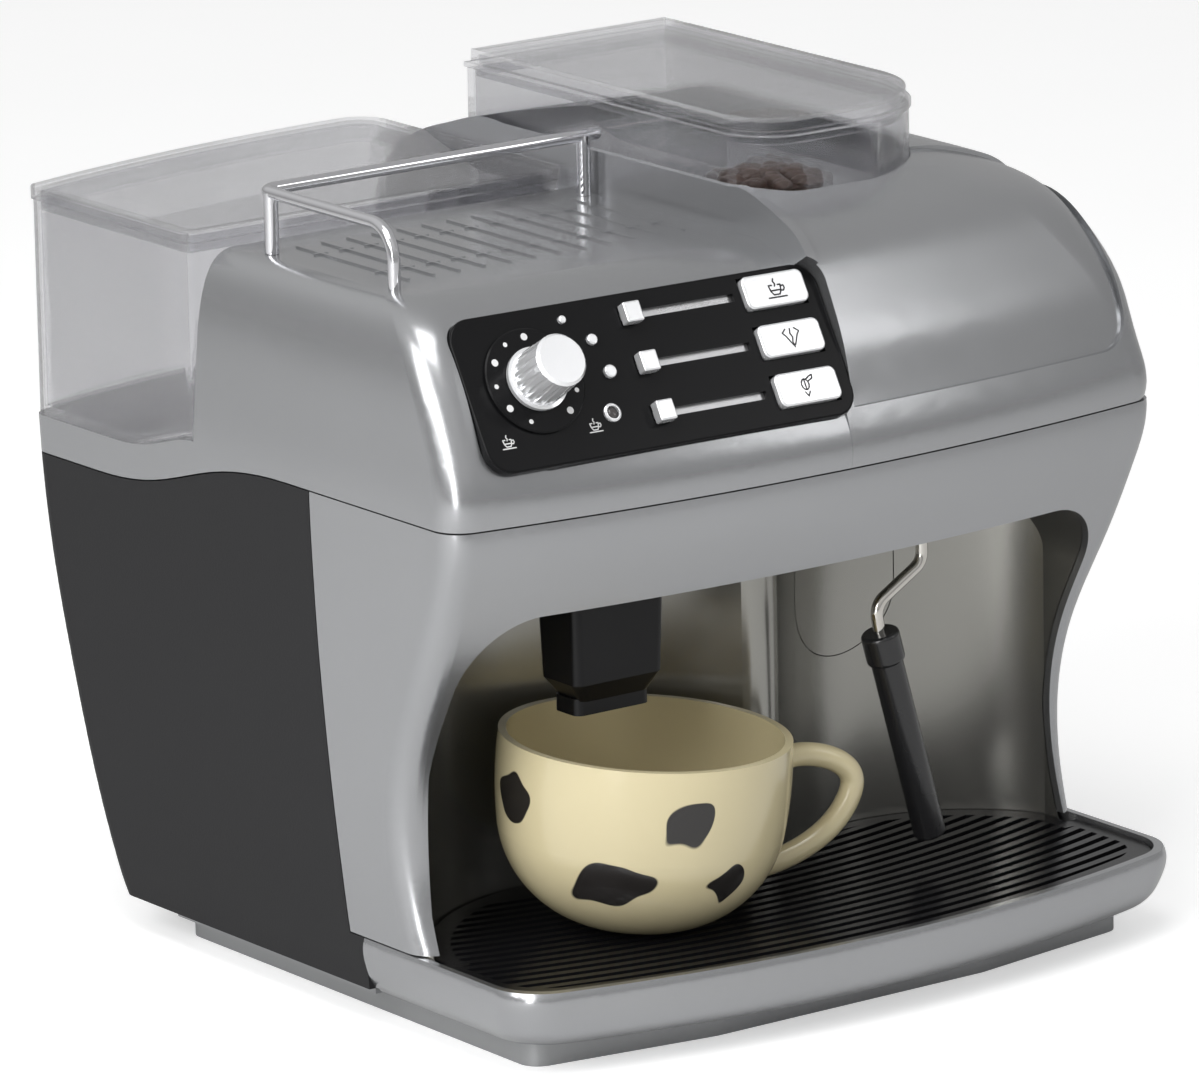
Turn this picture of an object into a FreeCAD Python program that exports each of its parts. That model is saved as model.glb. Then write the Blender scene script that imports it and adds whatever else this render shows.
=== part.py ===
import FreeCAD, Part
import math
import os
from collections import namedtuple

import Sketcher
from FreeCAD import Placement, Rotation, Vector

# Toy coffee maker: a play espresso machine about 234 mm wide.
# Frame: X to the right of someone facing the front, Y to the back, Z up, all in millimetres.
# Origin: on the table plane, under the middle of the body.

doc = FreeCAD.newDocument("toy_coffee_maker")

# Driving sizes, kept in a spreadsheet

SIZES = {
    # whole body
    "body_width": 234.0, "seam_height": 145.0, "upper_height": 55.0, "hump_rise": 12.0,
    "shell_wall": 2.2, "seam_gap": 0.4, "fit_gap": 0.3, "lower_start": 9.5,
    "front_reach": 84.0, "rear_reach": 111.0, "front_bow": 10.0, "rear_bow": 16.0,
    "hump_left": 5.5, "rear_seam_drop": 14.0,
    # cup bay
    "pillar_width": 12.0, "arch_radius": 20.0, "header_depth": 27.5, "bay_floor": 19.5,
    "liner_wall": 1.8,
    # tray and grille
    "tray_front": 117.5, "tray_bow": 16.0, "tray_side_step": 6.3, "tray_top": 24.0,
    "tray_bottom": 8.0, "tray_wall": 2.6, "tray_start": 31.0, "grille_thick": 3.4,
    "grille_seat": 19.3, "slot_width": 2.4, "slot_pitch": 4.8, "grille_border": 4.5,
    # base pan and batteries
    "base_width": 198.0, "base_front": 98.0, "base_bow": 8.0, "base_rear": 82.0, "base_slab": 7.6,
    "base_deck": 11.0, "cell_diameter": 14.5, "cell_length": 50.5, "cell_pitch": 15.4,
    "well_length": 62.0, "well_height": 19.0, "well_wall": 2.0, "door_thick": 2.0,
    # control panel
    "panel_width": 115.0, "panel_height": 43.0, "panel_thick": 2.5, "panel_corner": 7.0,
    "panel_tilt": 32.0, "panel_yaw": 2.5, "panel_left_margin": 11.5, "panel_rise": 33.0,
    "panel_reach": 80.0, "board_depth": 12.0, "board_thick": 1.6,
    "row_pitch": 13.8, "button_width": 19.4, "button_height": 9.2, "button_proud": 1.8,
    "button_travel": 1.5, "slider_size": 5.2, "slider_travel": 31.0, "slider_slot": 2.2, "groove_depth": 1.9,
    "knob_diameter": 15.5, "knob_height": 14.8, "skirt_diameter": 29.0, "skirt_thick": 1.0,
    "shaft_diameter": 5.0, "flute_count": 20.0, "flute_depth": 0.55, "lens_diameter": 3.2,
    # rail
    "rail_diameter": 3.4, "rail_post": 3.9, "rail_rise": 16.5, "rail_depth": 60.0,
    # water tank
    "tank_front": 34.5, "tank_right": 6.4, "tank_wall": 1.8, "tank_lid_thick": 3.4,
    "tank_corner": 9.0, "tank_side_step": 1.0,
    # bean hopper
    "hopper_left": 8.0, "hopper_width": 68.0, "hopper_front": 52.0, "hopper_rear": 80.0,
    "hopper_height": 20.0, "hopper_sink": 7.0, "hopper_wall": 1.6, "hopper_lid_height": 5.0,
    "hopper_left_radius": 16.0, "hopper_right_radius": 34.0,
    # spout, wand
    "spout_width": 30.0, "spout_depth": 18.0, "spout_length": 32.3, "spout_taper": 2.0,
    "pipe_diameter": 3.4, "sleeve_diameter": 8.8, "collar_diameter": 10.6,
    "sleeve_length": 57.0, "wand_reach": 16.0,
    # cup
    "cup_radius": 39.1, "cup_height": 50.0, "cup_foot": 18.5, "cup_wall": 2.2,
    "cup_lean": 4.0, "cup_handle_reach": 61.7, "cup_handle_thick": 6.4,
}

sheet = doc.addObject("Spreadsheet::Sheet", "Sizes")
for row, (alias, value) in enumerate(SIZES.items(), 1):
    sheet.set(f"A{row}", alias)
    sheet.set(f"B{row}", str(value))
    sheet.setAlias(f"B{row}", alias)
doc.recompute()


class Size:
    """A length that knows both its value and the sheet formula it comes from."""

    def __init__(self, value, text):
        self.value = float(value)
        self.text = text

    @staticmethod
    def of(other):
        return other if isinstance(other, Size) else Size(other, repr(float(other)))

    def __add__(self, other):
        other = Size.of(other)
        return Size(self.value + other.value, f"({self.text} + {other.text})")

    def __sub__(self, other):
        other = Size.of(other)
        return Size(self.value - other.value, f"({self.text} - {other.text})")

    def __mul__(self, other):
        other = Size.of(other)
        return Size(self.value * other.value, f"({self.text} * {other.text})")

    def __truediv__(self, other):
        other = Size.of(other)
        return Size(self.value / other.value, f"({self.text} / {other.text})")

    def __neg__(self):
        return Size(-self.value, f"(0 - {self.text})")


def sheet_size(alias):
    return Size(sheet.get(alias), f"Sizes.{alias}")


S = {alias: sheet_size(alias) for alias in SIZES}
V = {alias: size.value for alias, size in S.items()}

FAR = 400.0
parts = []


# Sketch and feature helpers

def keep(obj, label):
    """Name a finished piece, which is then written under that name."""
    obj.Label = label
    parts.append(obj)
    return obj


def new_body(name, placement=None):
    body = doc.addObject("PartDesign::Body", name)
    if placement:
        body.Placement = placement
    return body


def new_sketch(body, name, role="XY_Plane", offset=None, turn=0.0):
    """A sketch on one of the body's own planes, lifted off it by an offset."""
    sketch = body.newObject("Sketcher::SketchObject", name)
    plane = [f for f in body.Origin.OriginFeatures if f.Role == role][0]
    sketch.AttachmentSupport = [(plane, "")]
    sketch.MapMode = "FlatFace"
    if offset is not None:
        offset = Size.of(offset)
        sketch.AttachmentOffset = Placement(Vector(0, 0, offset.value), Rotation())
        sketch.setExpression("AttachmentOffset.Base.z", offset.text)
    return sketch


def bind(sketch, constraint, size):
    """Add a dimension to a sketch and tie it to its sheet formula."""
    index = sketch.addConstraint(constraint)
    sketch.setExpression(f"Constraints[{index}]", size.text)


def place_point(sketch, geometry, point, x, y):
    x, y = Size.of(x), Size.of(y)
    bind(sketch, Sketcher.Constraint("DistanceX", -1, 1, geometry, point, x.value), x)
    bind(sketch, Sketcher.Constraint("DistanceY", -1, 1, geometry, point, y.value), y)


def polygon(sketch, points):
    """A closed outline of straight lines through points given as sizes."""
    count = len(points)
    spots = [Vector(Size.of(x).value, Size.of(y).value, 0) for x, y in points]
    first = sketch.GeometryCount
    for i in range(count):
        sketch.addGeometry(Part.LineSegment(spots[i], spots[(i + 1) % count]))
    for i in range(count):
        following = first + (i + 1) % count
        sketch.addConstraint(Sketcher.Constraint("Coincident", first + i, 2, following, 1))
    for i, (x, y) in enumerate(points):
        place_point(sketch, first + i, 1, x, y)


def rectangle(sketch, width, height, x=0.0, y=0.0):
    width, height = Size.of(width) / 2, Size.of(height) / 2
    x, y = Size.of(x), Size.of(y)
    polygon(sketch, [(x - width, y - height), (x + width, y - height),
                     (x + width, y + height), (x - width, y + height)])


def circle(sketch, diameter, x=0.0, y=0.0):
    diameter = Size.of(diameter)
    spot = Vector(Size.of(x).value, Size.of(y).value, 0)
    index = sketch.addGeometry(Part.Circle(spot, Vector(0, 0, 1), diameter.value / 2))
    place_point(sketch, index, 3, x, y)
    bind(sketch, Sketcher.Constraint("Diameter", index, diameter.value), diameter)


def pad(body, sketch, length, down=False):
    feature = body.newObject("PartDesign::Pad", "Pad_" + sketch.Name)
    feature.Profile = sketch
    length = Size.of(length)
    feature.Length = length.value
    feature.setExpression("Length", length.text)
    feature.Reversed = down
    doc.recompute()
    return feature


def pocket(body, sketch, depth, up=False):
    """Cut away a sketch: downwards as drawn, or upwards."""
    before = body.Shape.Volume
    feature = body.newObject("PartDesign::Pocket", "Pocket_" + sketch.Name)
    feature.Profile = sketch
    depth = Size.of(depth)
    feature.Length = depth.value
    feature.setExpression("Length", depth.text)
    feature.Reversed = up
    doc.recompute()
    if body.Shape.Volume >= before - 1e-6:
        raise RuntimeError(f"{feature.Name} cuts nothing")
    return feature


def revolve(body, sketch, axis="V_Axis"):
    feature = body.newObject("PartDesign::Revolution", "Turn_" + sketch.Name)
    feature.Profile = sketch
    feature.ReferenceAxis = (sketch, [axis])
    feature.Angle = 360
    doc.recompute()
    return feature


def turned(name, points, placement=None):
    """A round piece turned about its own Z axis from a half outline of (radius, height)."""
    body = new_body(name, placement)
    sketch = new_sketch(body, name + "_outline", "XZ_Plane")
    polygon(sketch, points)
    revolve(body, sketch)
    return body


def round_edges(body, radius, wanted):
    """Fillet the edges of the last feature that the test picks out."""
    base = body.Tip
    names = [f"Edge{i}" for i, edge in enumerate(base.Shape.Edges, 1) if wanted(edge)]
    fillet = body.newObject("PartDesign::Fillet", "Round_" + base.Name)
    fillet.Base = (base, names)
    radius = Size.of(radius)
    fillet.Radius = radius.value
    fillet.setExpression("Radius", radius.text)
    doc.recompute()
    return fillet


def along_z(edge):
    direction = edge.Vertexes[-1].Point - edge.Vertexes[0].Point
    return len(edge.Vertexes) == 2 and abs(direction.x) + abs(direction.y) < 1e-6


def at_height(height):
    def test(edge):
        return all(abs(v.Point.z - height) < 1e-6 for v in edge.Vertexes)
    return test


def feature(name, shape, placement=None):
    """A free-form piece whose shape comes from the functions below."""
    obj = doc.addObject("Part::Feature", name)
    obj.Shape = shape
    if placement:
        obj.Placement = placement
    return keep(obj, name)


def block(x0, x1, y0, y1, z0, z1):
    return Part.makeBox(x1 - x0, y1 - y0, z1 - z0, Vector(x0, y0, z0))


# Lofted body forms: a stack of level outlines, each with a bowed front and a bowed back

Level = namedtuple("Level", "z half front bow corner rear rear_bow rear_corner")

HALF = V["body_width"] / 2
SEAM = V["seam_height"]
DECK = SEAM + V["upper_height"]
HUMP = DECK + V["hump_rise"]
FRONT = V["front_reach"]
REAR = V["rear_reach"]
FRONT_CORNER, REAR_CORNER = 8.0, 5.0


def corner_arc(side, middle_y, bow_radius, corner, away):
    """Blend a straight side into a bowed end: both touch points and a point between them."""
    centre_x = side - math.copysign(corner, side)
    reach = math.sqrt((bow_radius - corner) ** 2 - centre_x ** 2)
    centre = Vector(centre_x, middle_y + away * reach, 0)
    bow_centre = Vector(0, middle_y, 0)
    outward = (centre - bow_centre).normalize()
    on_bow = bow_centre + outward * bow_radius
    on_side = Vector(side, centre.y, 0)
    between = ((on_bow + on_side) * 0.5 - centre).normalize() * corner + centre
    return on_side, between, on_bow


def level_outline(level, inset=0.0):
    half = level.half - inset
    front, rear = -level.front + inset, level.rear - inset
    front_radius = (half ** 2 + level.bow ** 2) / (2 * level.bow)
    rear_radius = (half ** 2 + level.rear_bow ** 2) / (2 * level.rear_bow)
    front_middle = front - level.bow + front_radius
    rear_middle = rear + level.rear_bow - rear_radius
    corner = max(level.corner - inset, 1.0)
    rear_corner = max(level.rear_corner - inset, 1.0)
    fl = corner_arc(-half, front_middle, front_radius, corner, -1)
    fr = corner_arc(half, front_middle, front_radius, corner, -1)
    rl = corner_arc(-half, rear_middle, rear_radius, rear_corner, 1)
    rr = corner_arc(half, rear_middle, rear_radius, rear_corner, 1)
    edges = [
        Part.Arc(fl[2], Vector(0, front - level.bow, 0), fr[2]).toShape(),
        Part.Arc(fr[2], fr[1], fr[0]).toShape(),
        Part.makeLine(fr[0], rr[0]),
        Part.Arc(rr[0], rr[1], rr[2]).toShape(),
        Part.Arc(rr[2], Vector(0, rear + level.rear_bow, 0), rl[2]).toShape(),
        Part.Arc(rl[2], rl[1], rl[0]).toShape(),
        Part.makeLine(rl[0], fl[0]),
        Part.Arc(fl[0], fl[1], fl[2]).toShape(),
    ]
    wire = Part.Wire(edges)
    wire.translate(Vector(0, 0, level.z))
    return wire


# Cubic surfaces keep the skin free of waves between the levels.
LOFT_DEGREE = 3


def stack(levels, inset=0.0, drop=0.0):
    """Loft a body through its levels; the inner form is inset and, at the top, lowered."""
    wires = []
    for level in levels:
        wires.append(level_outline(level._replace(z=level.z - drop), inset))
    return Part.makeLoft(wires, True, False, False, LOFT_DEGREE)


def lower_levels():
    """Tapered lower body: (share of height, side draw-in, front reach, rear reach)."""
    height = SEAM - V["lower_start"]
    stations = [
        (0.0, 8.2, 22.0, 25.0), (0.055, 7.6, 23.5, 21.5), (0.137, 6.6, 28.0, 18.0),
        (0.262, 5.6, 32.2, 13.0), (0.358, 4.8, 32.8, 10.0), (0.483, 3.8, 29.5, 6.5),
        (0.631, 2.6, 20.0, 3.0), (0.779, 1.5, 9.5, 0.7), (0.904, 0.6, 2.0, 0.0),
        (1.0, 0.0, 0.0, 0.0),
    ]
    return [
        Level(V["lower_start"] + share * height, HALF - draw, FRONT - back, V["front_bow"],
              FRONT_CORNER, REAR - lean, V["rear_bow"], REAR_CORNER)
        for share, draw, back, lean in stations
    ]


def upper_level(share, draw, reach, bow, corner, lean, rear_bow, top):
    return Level(SEAM + share * (top - SEAM), HALF - draw, FRONT + reach, bow, corner,
                 REAR - lean, rear_bow, REAR_CORNER)


def shelf_levels():
    """Left part of the hood, under the flat cup shelf: the front leans back into the deck."""
    bow, rear_bow = V["front_bow"], V["rear_bow"]
    stations = [
        (-0.364, 0.8, -4.5, bow), (0.0, 0.0, 0.0, bow), (0.164, 0.0, 0.8, 0.9 * bow),
        (0.4, 0.5, -3.2, 0.64 * bow), (0.709, 1.5, -11.3, 0.45 * bow),
        (0.891, 4.0, -19.3, 0.36 * bow), (0.973, 7.5, -27.3, 0.3 * bow),
        (1.0, 12.0, -35.3, 0.3 * bow),
    ]
    return [upper_level(share, draw, reach, b, FRONT_CORNER + 1.0, 0.0, rear_bow, DECK)
            for share, draw, reach, b in stations]


def hump_levels():
    """Right part of the hood: a fuller dome that carries the bean hopper."""
    bow, rear_bow = V["front_bow"], V["rear_bow"]
    stations = [
        (-0.294, 0.8, -4.5, bow, 10.0, 0.0), (0.0, 0.0, 0.0, bow, 10.0, 0.0),
        (0.132, 0.0, 1.0, 0.9 * bow, 11.0, 0.0), (0.324, 0.7, -1.5, 0.73 * bow, 15.0, 0.5),
        (0.515, 2.2, -4.5, 0.64 * bow, 18.0, 2.0), (0.662, 4.8, -8.5, 0.55 * bow, 22.0, 6.0),
        (0.794, 9.0, -13.0, 0.5 * bow, 25.0, 13.0), (0.897, 16.0, -20.0, 0.45 * bow, 28.0, 24.0),
        (0.97, 28.0, -31.0, 0.36 * bow, 28.0, 38.0), (1.0, 46.0, -45.0, 0.3 * bow, 24.0, 56.0),
    ]
    return [upper_level(share, draw, reach, b, corner, lean, rear_bow - 0.15 * lean, HUMP)
            for share, draw, reach, b, corner, lean in stations]


def wave_edge(x, lift=0.0):
    """The seam between hood and lower body: level at the back, an S up, level in front."""
    rear = SEAM - V["rear_seam_drop"] + lift
    front = SEAM + lift
    curve = Part.BezierCurve()
    curve.setPoles([Vector(x, 80, rear), Vector(x, 40, rear), Vector(x, 35, front),
                    Vector(x, -10, front)])
    return [
        Part.makeLine(Vector(x, FAR, rear), Vector(x, 80, rear)),
        curve.toShape(),
        Part.makeLine(Vector(x, -10, front), Vector(x, -FAR, front)),
    ]


def below_seam(lift=0.0):
    """Everything below the wavy seam."""
    front, rear = SEAM + lift, SEAM - V["rear_seam_drop"] + lift
    edges = wave_edge(-FAR, lift) + [
        Part.makeLine(Vector(-FAR, -FAR, front), Vector(-FAR, -FAR, -FAR)),
        Part.makeLine(Vector(-FAR, -FAR, -FAR), Vector(-FAR, FAR, -FAR)),
        Part.makeLine(Vector(-FAR, FAR, -FAR), Vector(-FAR, FAR, rear)),
    ]
    return Part.Face(Part.Wire(edges)).extrude(Vector(2 * FAR, 0, 0))


def behind_side_seam(shift=0.0):
    """Everything behind the black and silver joint, which leans forward towards the tray."""
    top = Vector(-FAR, -20.5 + shift, SEAM)
    middle = Vector(-FAR, -20.0 + shift, 0.62 * SEAM)
    bottom = Vector(-FAR, -24.5 + shift, V["tray_top"])
    low = Vector(-FAR, -V["tray_start"] + shift, V["tray_top"])
    foot = Vector(-FAR, -V["tray_start"] + shift, 0)
    edges = [
        Part.makeLine(Vector(-FAR, FAR, FAR), Vector(-FAR, top.y, FAR)),
        Part.makeLine(Vector(-FAR, top.y, FAR), top),
        Part.Arc(top, middle, bottom).toShape(),
        Part.makeLine(bottom, low),
        Part.makeLine(low, foot),
        Part.makeLine(foot, Vector(-FAR, FAR, 0)),
        Part.makeLine(Vector(-FAR, FAR, 0), Vector(-FAR, FAR, FAR)),
    ]
    return Part.Face(Part.Wire(edges)).extrude(Vector(2 * FAR, 0, 0))


# Cup bay: a double concave back wall under an arched header

BAY = HALF - V["pillar_width"]
HEADER = SEAM - V["header_depth"]


def bay_plan(grow=0.0, front=-140.0):
    """Plan of the bay: two hollows with a soft ridge between them, open to the front."""
    half = BAY + grow
    ridge, ridge_half, ridge_y = 0.13 * BAY, 6.0, -42.0 + grow
    left_hollow = Vector(-0.45 * BAY, -14.5 + grow, 0)
    right_hollow = Vector(0.65 * BAY, -23.0 + grow, 0)
    left_back = Vector(-half, -55.0 + grow, 0)
    right_back = Vector(half, -50.0 + grow, 0)
    ridge_left = Vector(ridge - ridge_half, ridge_y, 0)
    ridge_right = Vector(ridge + ridge_half, ridge_y, 0)
    ridge_top = Vector(ridge, ridge_y - 2.5, 0)
    edges = [
        Part.makeLine(Vector(-half, front, 0), left_back),
        Part.Arc(left_back, left_hollow, ridge_left).toShape(),
        Part.Arc(ridge_left, ridge_top, ridge_right).toShape(),
        Part.Arc(ridge_right, right_hollow, right_back).toShape(),
        Part.makeLine(right_back, Vector(half, front, 0)),
        Part.makeLine(Vector(half, front, 0), Vector(-half, front, 0)),
    ]
    return Part.Face(Part.Wire(edges))


def bay_arch(grow=0.0, floor=0.0):
    """Front outline of the bay, with rounded upper corners, extruded back to front."""
    half, top, radius = BAY + grow, HEADER + grow, V["arch_radius"] + grow
    corner = radius * (1 - math.sqrt(0.5))
    edges = [
        Part.makeLine(Vector(-half, -200, floor), Vector(-half, -200, top - radius)),
        Part.Arc(Vector(-half, -200, top - radius), Vector(-half + corner, -200, top - corner),
                 Vector(-half + radius, -200, top)).toShape(),
        Part.makeLine(Vector(-half + radius, -200, top), Vector(half - radius, -200, top)),
        Part.Arc(Vector(half - radius, -200, top), Vector(half - corner, -200, top - corner),
                 Vector(half, -200, top - radius)).toShape(),
        Part.makeLine(Vector(half, -200, top - radius), Vector(half, -200, floor)),
        Part.makeLine(Vector(half, -200, floor), Vector(-half, -200, floor)),
    ]
    return Part.Face(Part.Wire(edges)).extrude(Vector(0, 300, 0))


def bay_solid(grow=0.0, floor=0.0):
    column = bay_plan(grow).extrude(Vector(0, 0, FAR))
    return column.common(bay_arch(grow, floor))


# Lower body: black rear shell and silver front housing

WALL = V["shell_wall"]
lower_outer = stack(lower_levels())
lower_inner = stack(lower_levels(), WALL)
lower_skin = lower_outer.cut(lower_inner).common(below_seam(-V["seam_gap"]))

rear_shell = lower_skin.common(behind_side_seam(V["seam_gap"] / 2))
feature("rear_shell", rear_shell)

above_tray = block(-FAR, FAR, -FAR, FAR, V["tray_top"] + V["seam_gap"], FAR)
front_skin = lower_skin.cut(behind_side_seam(-V["seam_gap"] / 2)).common(above_tray)
front_housing = front_skin.cut(bay_solid())
feature("front_housing", front_housing)

# Bay liner: the wall moulding behind the cup, fitted inside the shells
LINER = V["liner_wall"]
liner_room = stack(lower_levels(), WALL + V["fit_gap"])
liner = bay_solid(LINER, V["bay_floor"]).cut(bay_solid(0.0, -10.0)).common(liner_room)
# The steam wand turns in a bore through the liner's roof.
WAND_X, WAND_Y, WAND_PLAY = 50.4, -66.0, 0.08
liner = liner.cut(Part.makeCylinder(V["pipe_diameter"] / 2 + WAND_PLAY, 4 * LINER,
                                    Vector(WAND_X, WAND_Y, HEADER - LINER)))
# A tongue-shaped service cover sits flush in the right hollow.
COVER_X, COVER_TOP, COVER_LOW, COVER_HALF = 54.75, 102.0, 71.0, 18.4


def tongue(grow):
    half, low = COVER_HALF + grow, COVER_LOW - grow
    top = COVER_TOP + grow
    shoulder = low + 0.9 * half
    edges = [
        Part.makeLine(Vector(COVER_X - half, -60, top), Vector(COVER_X - half, -60, shoulder)),
        Part.Arc(Vector(COVER_X - half, -60, shoulder), Vector(COVER_X, -60, low),
                 Vector(COVER_X + half, -60, shoulder)).toShape(),
        Part.makeLine(Vector(COVER_X + half, -60, shoulder), Vector(COVER_X + half, -60, top)),
        Part.makeLine(Vector(COVER_X + half, -60, top), Vector(COVER_X - half, -60, top)),
    ]
    return Part.Face(Part.Wire(edges)).extrude(Vector(0, 60, 0))


service_cover = liner.common(tongue(0.0))
feature("bay_liner", liner.cut(tongue(V["fit_gap"])))
feature("service_cover", service_cover)

# Hood: cup shelf on the left, dome on the right, with a seat for the tank behind the shelf


def split_stack(inset, drop, side):
    """Join the shelf form and the dome form at the dome's left wall."""
    left = stack(shelf_levels(), inset, drop).common(block(-FAR, side, -FAR, FAR, 0, FAR))
    right = stack(hump_levels(), inset, drop).common(block(side, FAR, -FAR, FAR, 0, FAR))
    return left.fuse(right)


TANK_FLOOR = SEAM - 3.5
TANK_STEP = 6.5


def tank_side(grow=0.0, lift=0.0):
    """Side outline of the tank seat: a floor that rises at the front, a wall that leans back."""
    front = V["tank_front"] - 1.5 - grow
    floor = TANK_FLOOR - grow + lift
    curve = Part.BezierCurve()
    curve.setPoles([Vector(-FAR, 70, floor), Vector(-FAR, 52, floor),
                    Vector(-FAR, 44, floor + TANK_STEP), Vector(-FAR, front, floor + TANK_STEP)])
    edges = [
        Part.makeLine(Vector(-FAR, FAR, floor), Vector(-FAR, 70, floor)),
        curve.toShape(),
        Part.makeLine(Vector(-FAR, front, floor + TANK_STEP), Vector(-FAR, front - 3.5, DECK)),
        Part.makeLine(Vector(-FAR, front - 3.5, DECK), Vector(-FAR, front - 3.5, FAR)),
        Part.makeLine(Vector(-FAR, front - 3.5, FAR), Vector(-FAR, FAR, FAR)),
        Part.makeLine(Vector(-FAR, FAR, FAR), Vector(-FAR, FAR, floor)),
    ]
    width = FAR + V["tank_right"] + 1.0 + grow
    return Part.Face(Part.Wire(edges)).extrude(Vector(width, 0, 0))


def hopper_plan(grow=0.0):
    """D-shaped plan: straight back and sides, a tight and a wide front corner."""
    left, right = V["hopper_left"] - grow, V["hopper_left"] + V["hopper_width"] + grow
    front, rear = -V["hopper_front"] - grow, V["hopper_rear"] + grow
    tight, wide = V["hopper_left_radius"] + grow, V["hopper_right_radius"] + grow
    near = 1 - math.sqrt(0.5)
    edges = [
        Part.makeLine(Vector(left, rear, 0), Vector(left, front + tight, 0)),
        Part.Arc(Vector(left, front + tight, 0), Vector(left + near * tight, front + near * tight, 0),
                 Vector(left + tight, front, 0)).toShape(),
        Part.makeLine(Vector(left + tight, front, 0), Vector(right - wide, front, 0)),
        Part.Arc(Vector(right - wide, front, 0), Vector(right - near * wide, front + near * wide, 0),
                 Vector(right, front + wide, 0)).toShape(),
        Part.makeLine(Vector(right, front + wide, 0), Vector(right, rear, 0)),
        Part.makeLine(Vector(right, rear, 0), Vector(left, rear, 0)),
    ]
    return Part.Face(Part.Wire(edges))


def hopper_prism(z0, z1, grow=0.0):
    face = hopper_plan(grow)
    face.translate(Vector(0, 0, z0))
    return face.extrude(Vector(0, 0, z1 - z0))


# Control panel frame: its own u to the right, v up the slope, w out of the face
PANEL_AT = Vector(-HALF + V["panel_left_margin"] + V["panel_width"] / 2, -V["panel_reach"],
                  SEAM + V["panel_rise"])
PANEL_TURN = Rotation(Vector(0, 0, 1), -V["panel_yaw"]) * Rotation(
    Vector(1, 0, 0), 90.0 - V["panel_tilt"])
PANEL = Placement(PANEL_AT, PANEL_TURN)


def panel_block(grow, w0, w1, corner=None):
    """A rounded slab in the panel's own frame."""
    half_u, half_v = V["panel_width"] / 2 + grow, V["panel_height"] / 2 + grow
    slab = block(-half_u, half_u, -half_v, half_v, w0, w1)
    radius = max((V["panel_corner"] if corner is None else corner) + grow, 1.0)
    slab = slab.makeFillet(radius, [edge for edge in slab.Edges if along_z(edge)])
    slab.Placement = PANEL
    return slab


HOPPER_FLOOR = HUMP - V["hopper_sink"]

hood_outer = split_stack(0.0, 0.0, V["hump_left"])
# The fascia right of the control panel lies a little below a raised rim.
FASCIA_DEPTH, FASCIA_RIM, FASCIA_LOW = 0.9, 9.5, 15.5
fascia = block(V["hump_left"] + 3.0, HALF - FASCIA_RIM, -FAR, -36.0, SEAM + FASCIA_LOW, FAR)
fascia = fascia.makeFillet(10.0, [
    edge for edge in fascia.Edges
    if abs(edge.CenterOfMass.z - SEAM - FASCIA_LOW) < 1e-6
    and abs(edge.CenterOfMass.x - HALF + FASCIA_RIM) < 1e-6])
sunk = stack(hump_levels(), FASCIA_DEPTH, FASCIA_DEPTH)
hood_outer = hood_outer.cut(fascia.cut(sunk))

cavity = split_stack(WALL, WALL, V["hump_left"] + WALL)
cavity = cavity.cut(tank_side(WALL))
cavity = cavity.cut(hopper_prism(HOPPER_FLOOR - WALL - V["fit_gap"], FAR, WALL + V["fit_gap"]))
cavity = cavity.cut(panel_block(3.0, -V["panel_thick"] - WALL - 0.3, FAR))
hood = hood_outer.cut(cavity).cut(tank_side()).cut(below_seam())
hood = hood.cut(hopper_prism(HOPPER_FLOOR - V["fit_gap"], FAR, V["fit_gap"]))
hood = hood.cut(panel_block(V["fit_gap"], -V["panel_thick"] - 0.2, 30.0))
hood = hood.cut(panel_block(-1.6, -40.0, 1.0))

# Cup shelf ribs run front to back on the deck, each with short cross ticks.
RIB_COUNT, RIB_WIDTH, RIB_RISE = 12, 0.9, 0.5
rib_left, rib_right = -HALF + 24.0, V["hump_left"] - 9.0
ribs = []
for i in range(RIB_COUNT):
    x = rib_left + i * (rib_right - rib_left) / (RIB_COUNT - 1)
    ribs.append(block(x - RIB_WIDTH / 2, x + RIB_WIDTH / 2, -34.0, 17.0, DECK - 0.5, DECK + RIB_RISE))
    for y in (-22.0, 6.0):
        ribs.append(block(x - 2.0, x + 2.0, y - 0.5, y + 0.5, DECK - 0.5, DECK + RIB_RISE))
hood = hood.fuse(ribs)
feature("hood", hood)

# Water tank and its lid


def tank_room(grow, z0, z1):
    """Plan of the tank raised between two heights: bowed back, one big rounded corner."""
    level = Level(z0, HALF - V["tank_side_step"] + grow, FRONT, V["front_bow"], 10.0,
                  REAR + grow, V["rear_bow"], 4.0 + grow)
    prism = Part.Face(level_outline(level)).extrude(Vector(0, 0, z1 - z0))
    right = V["tank_right"] + grow
    prism = prism.common(block(-FAR, right, V["tank_front"] - grow, FAR, z0, z1))
    corner = [e for e in prism.Edges if along_z(e)
              and abs(e.CenterOfMass.x - right) < 0.01 and e.CenterOfMass.y > 80.0]
    prism = prism.makeFillet(max(V["tank_corner"] + grow, 2.0), corner)
    front = [e for e in prism.Edges if along_z(e)
             and abs(e.CenterOfMass.y - V["tank_front"] + grow) < 0.01]
    return prism.makeFillet(max(3.0 + grow, 1.0), front)


TANK_TOP = DECK + 1.0
TANK_SEAT = 0.3
tank_outer = tank_room(0.0, TANK_FLOOR - 5.0, TANK_TOP).common(tank_side(0.0, TANK_SEAT))
tank_inner = tank_room(-V["tank_wall"], TANK_FLOOR - 5.0, TANK_TOP + 1.0)
tank_inner = tank_inner.common(tank_side(0.0, TANK_SEAT + V["tank_wall"]))
feature("water_tank", tank_outer.cut(tank_inner))

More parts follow.
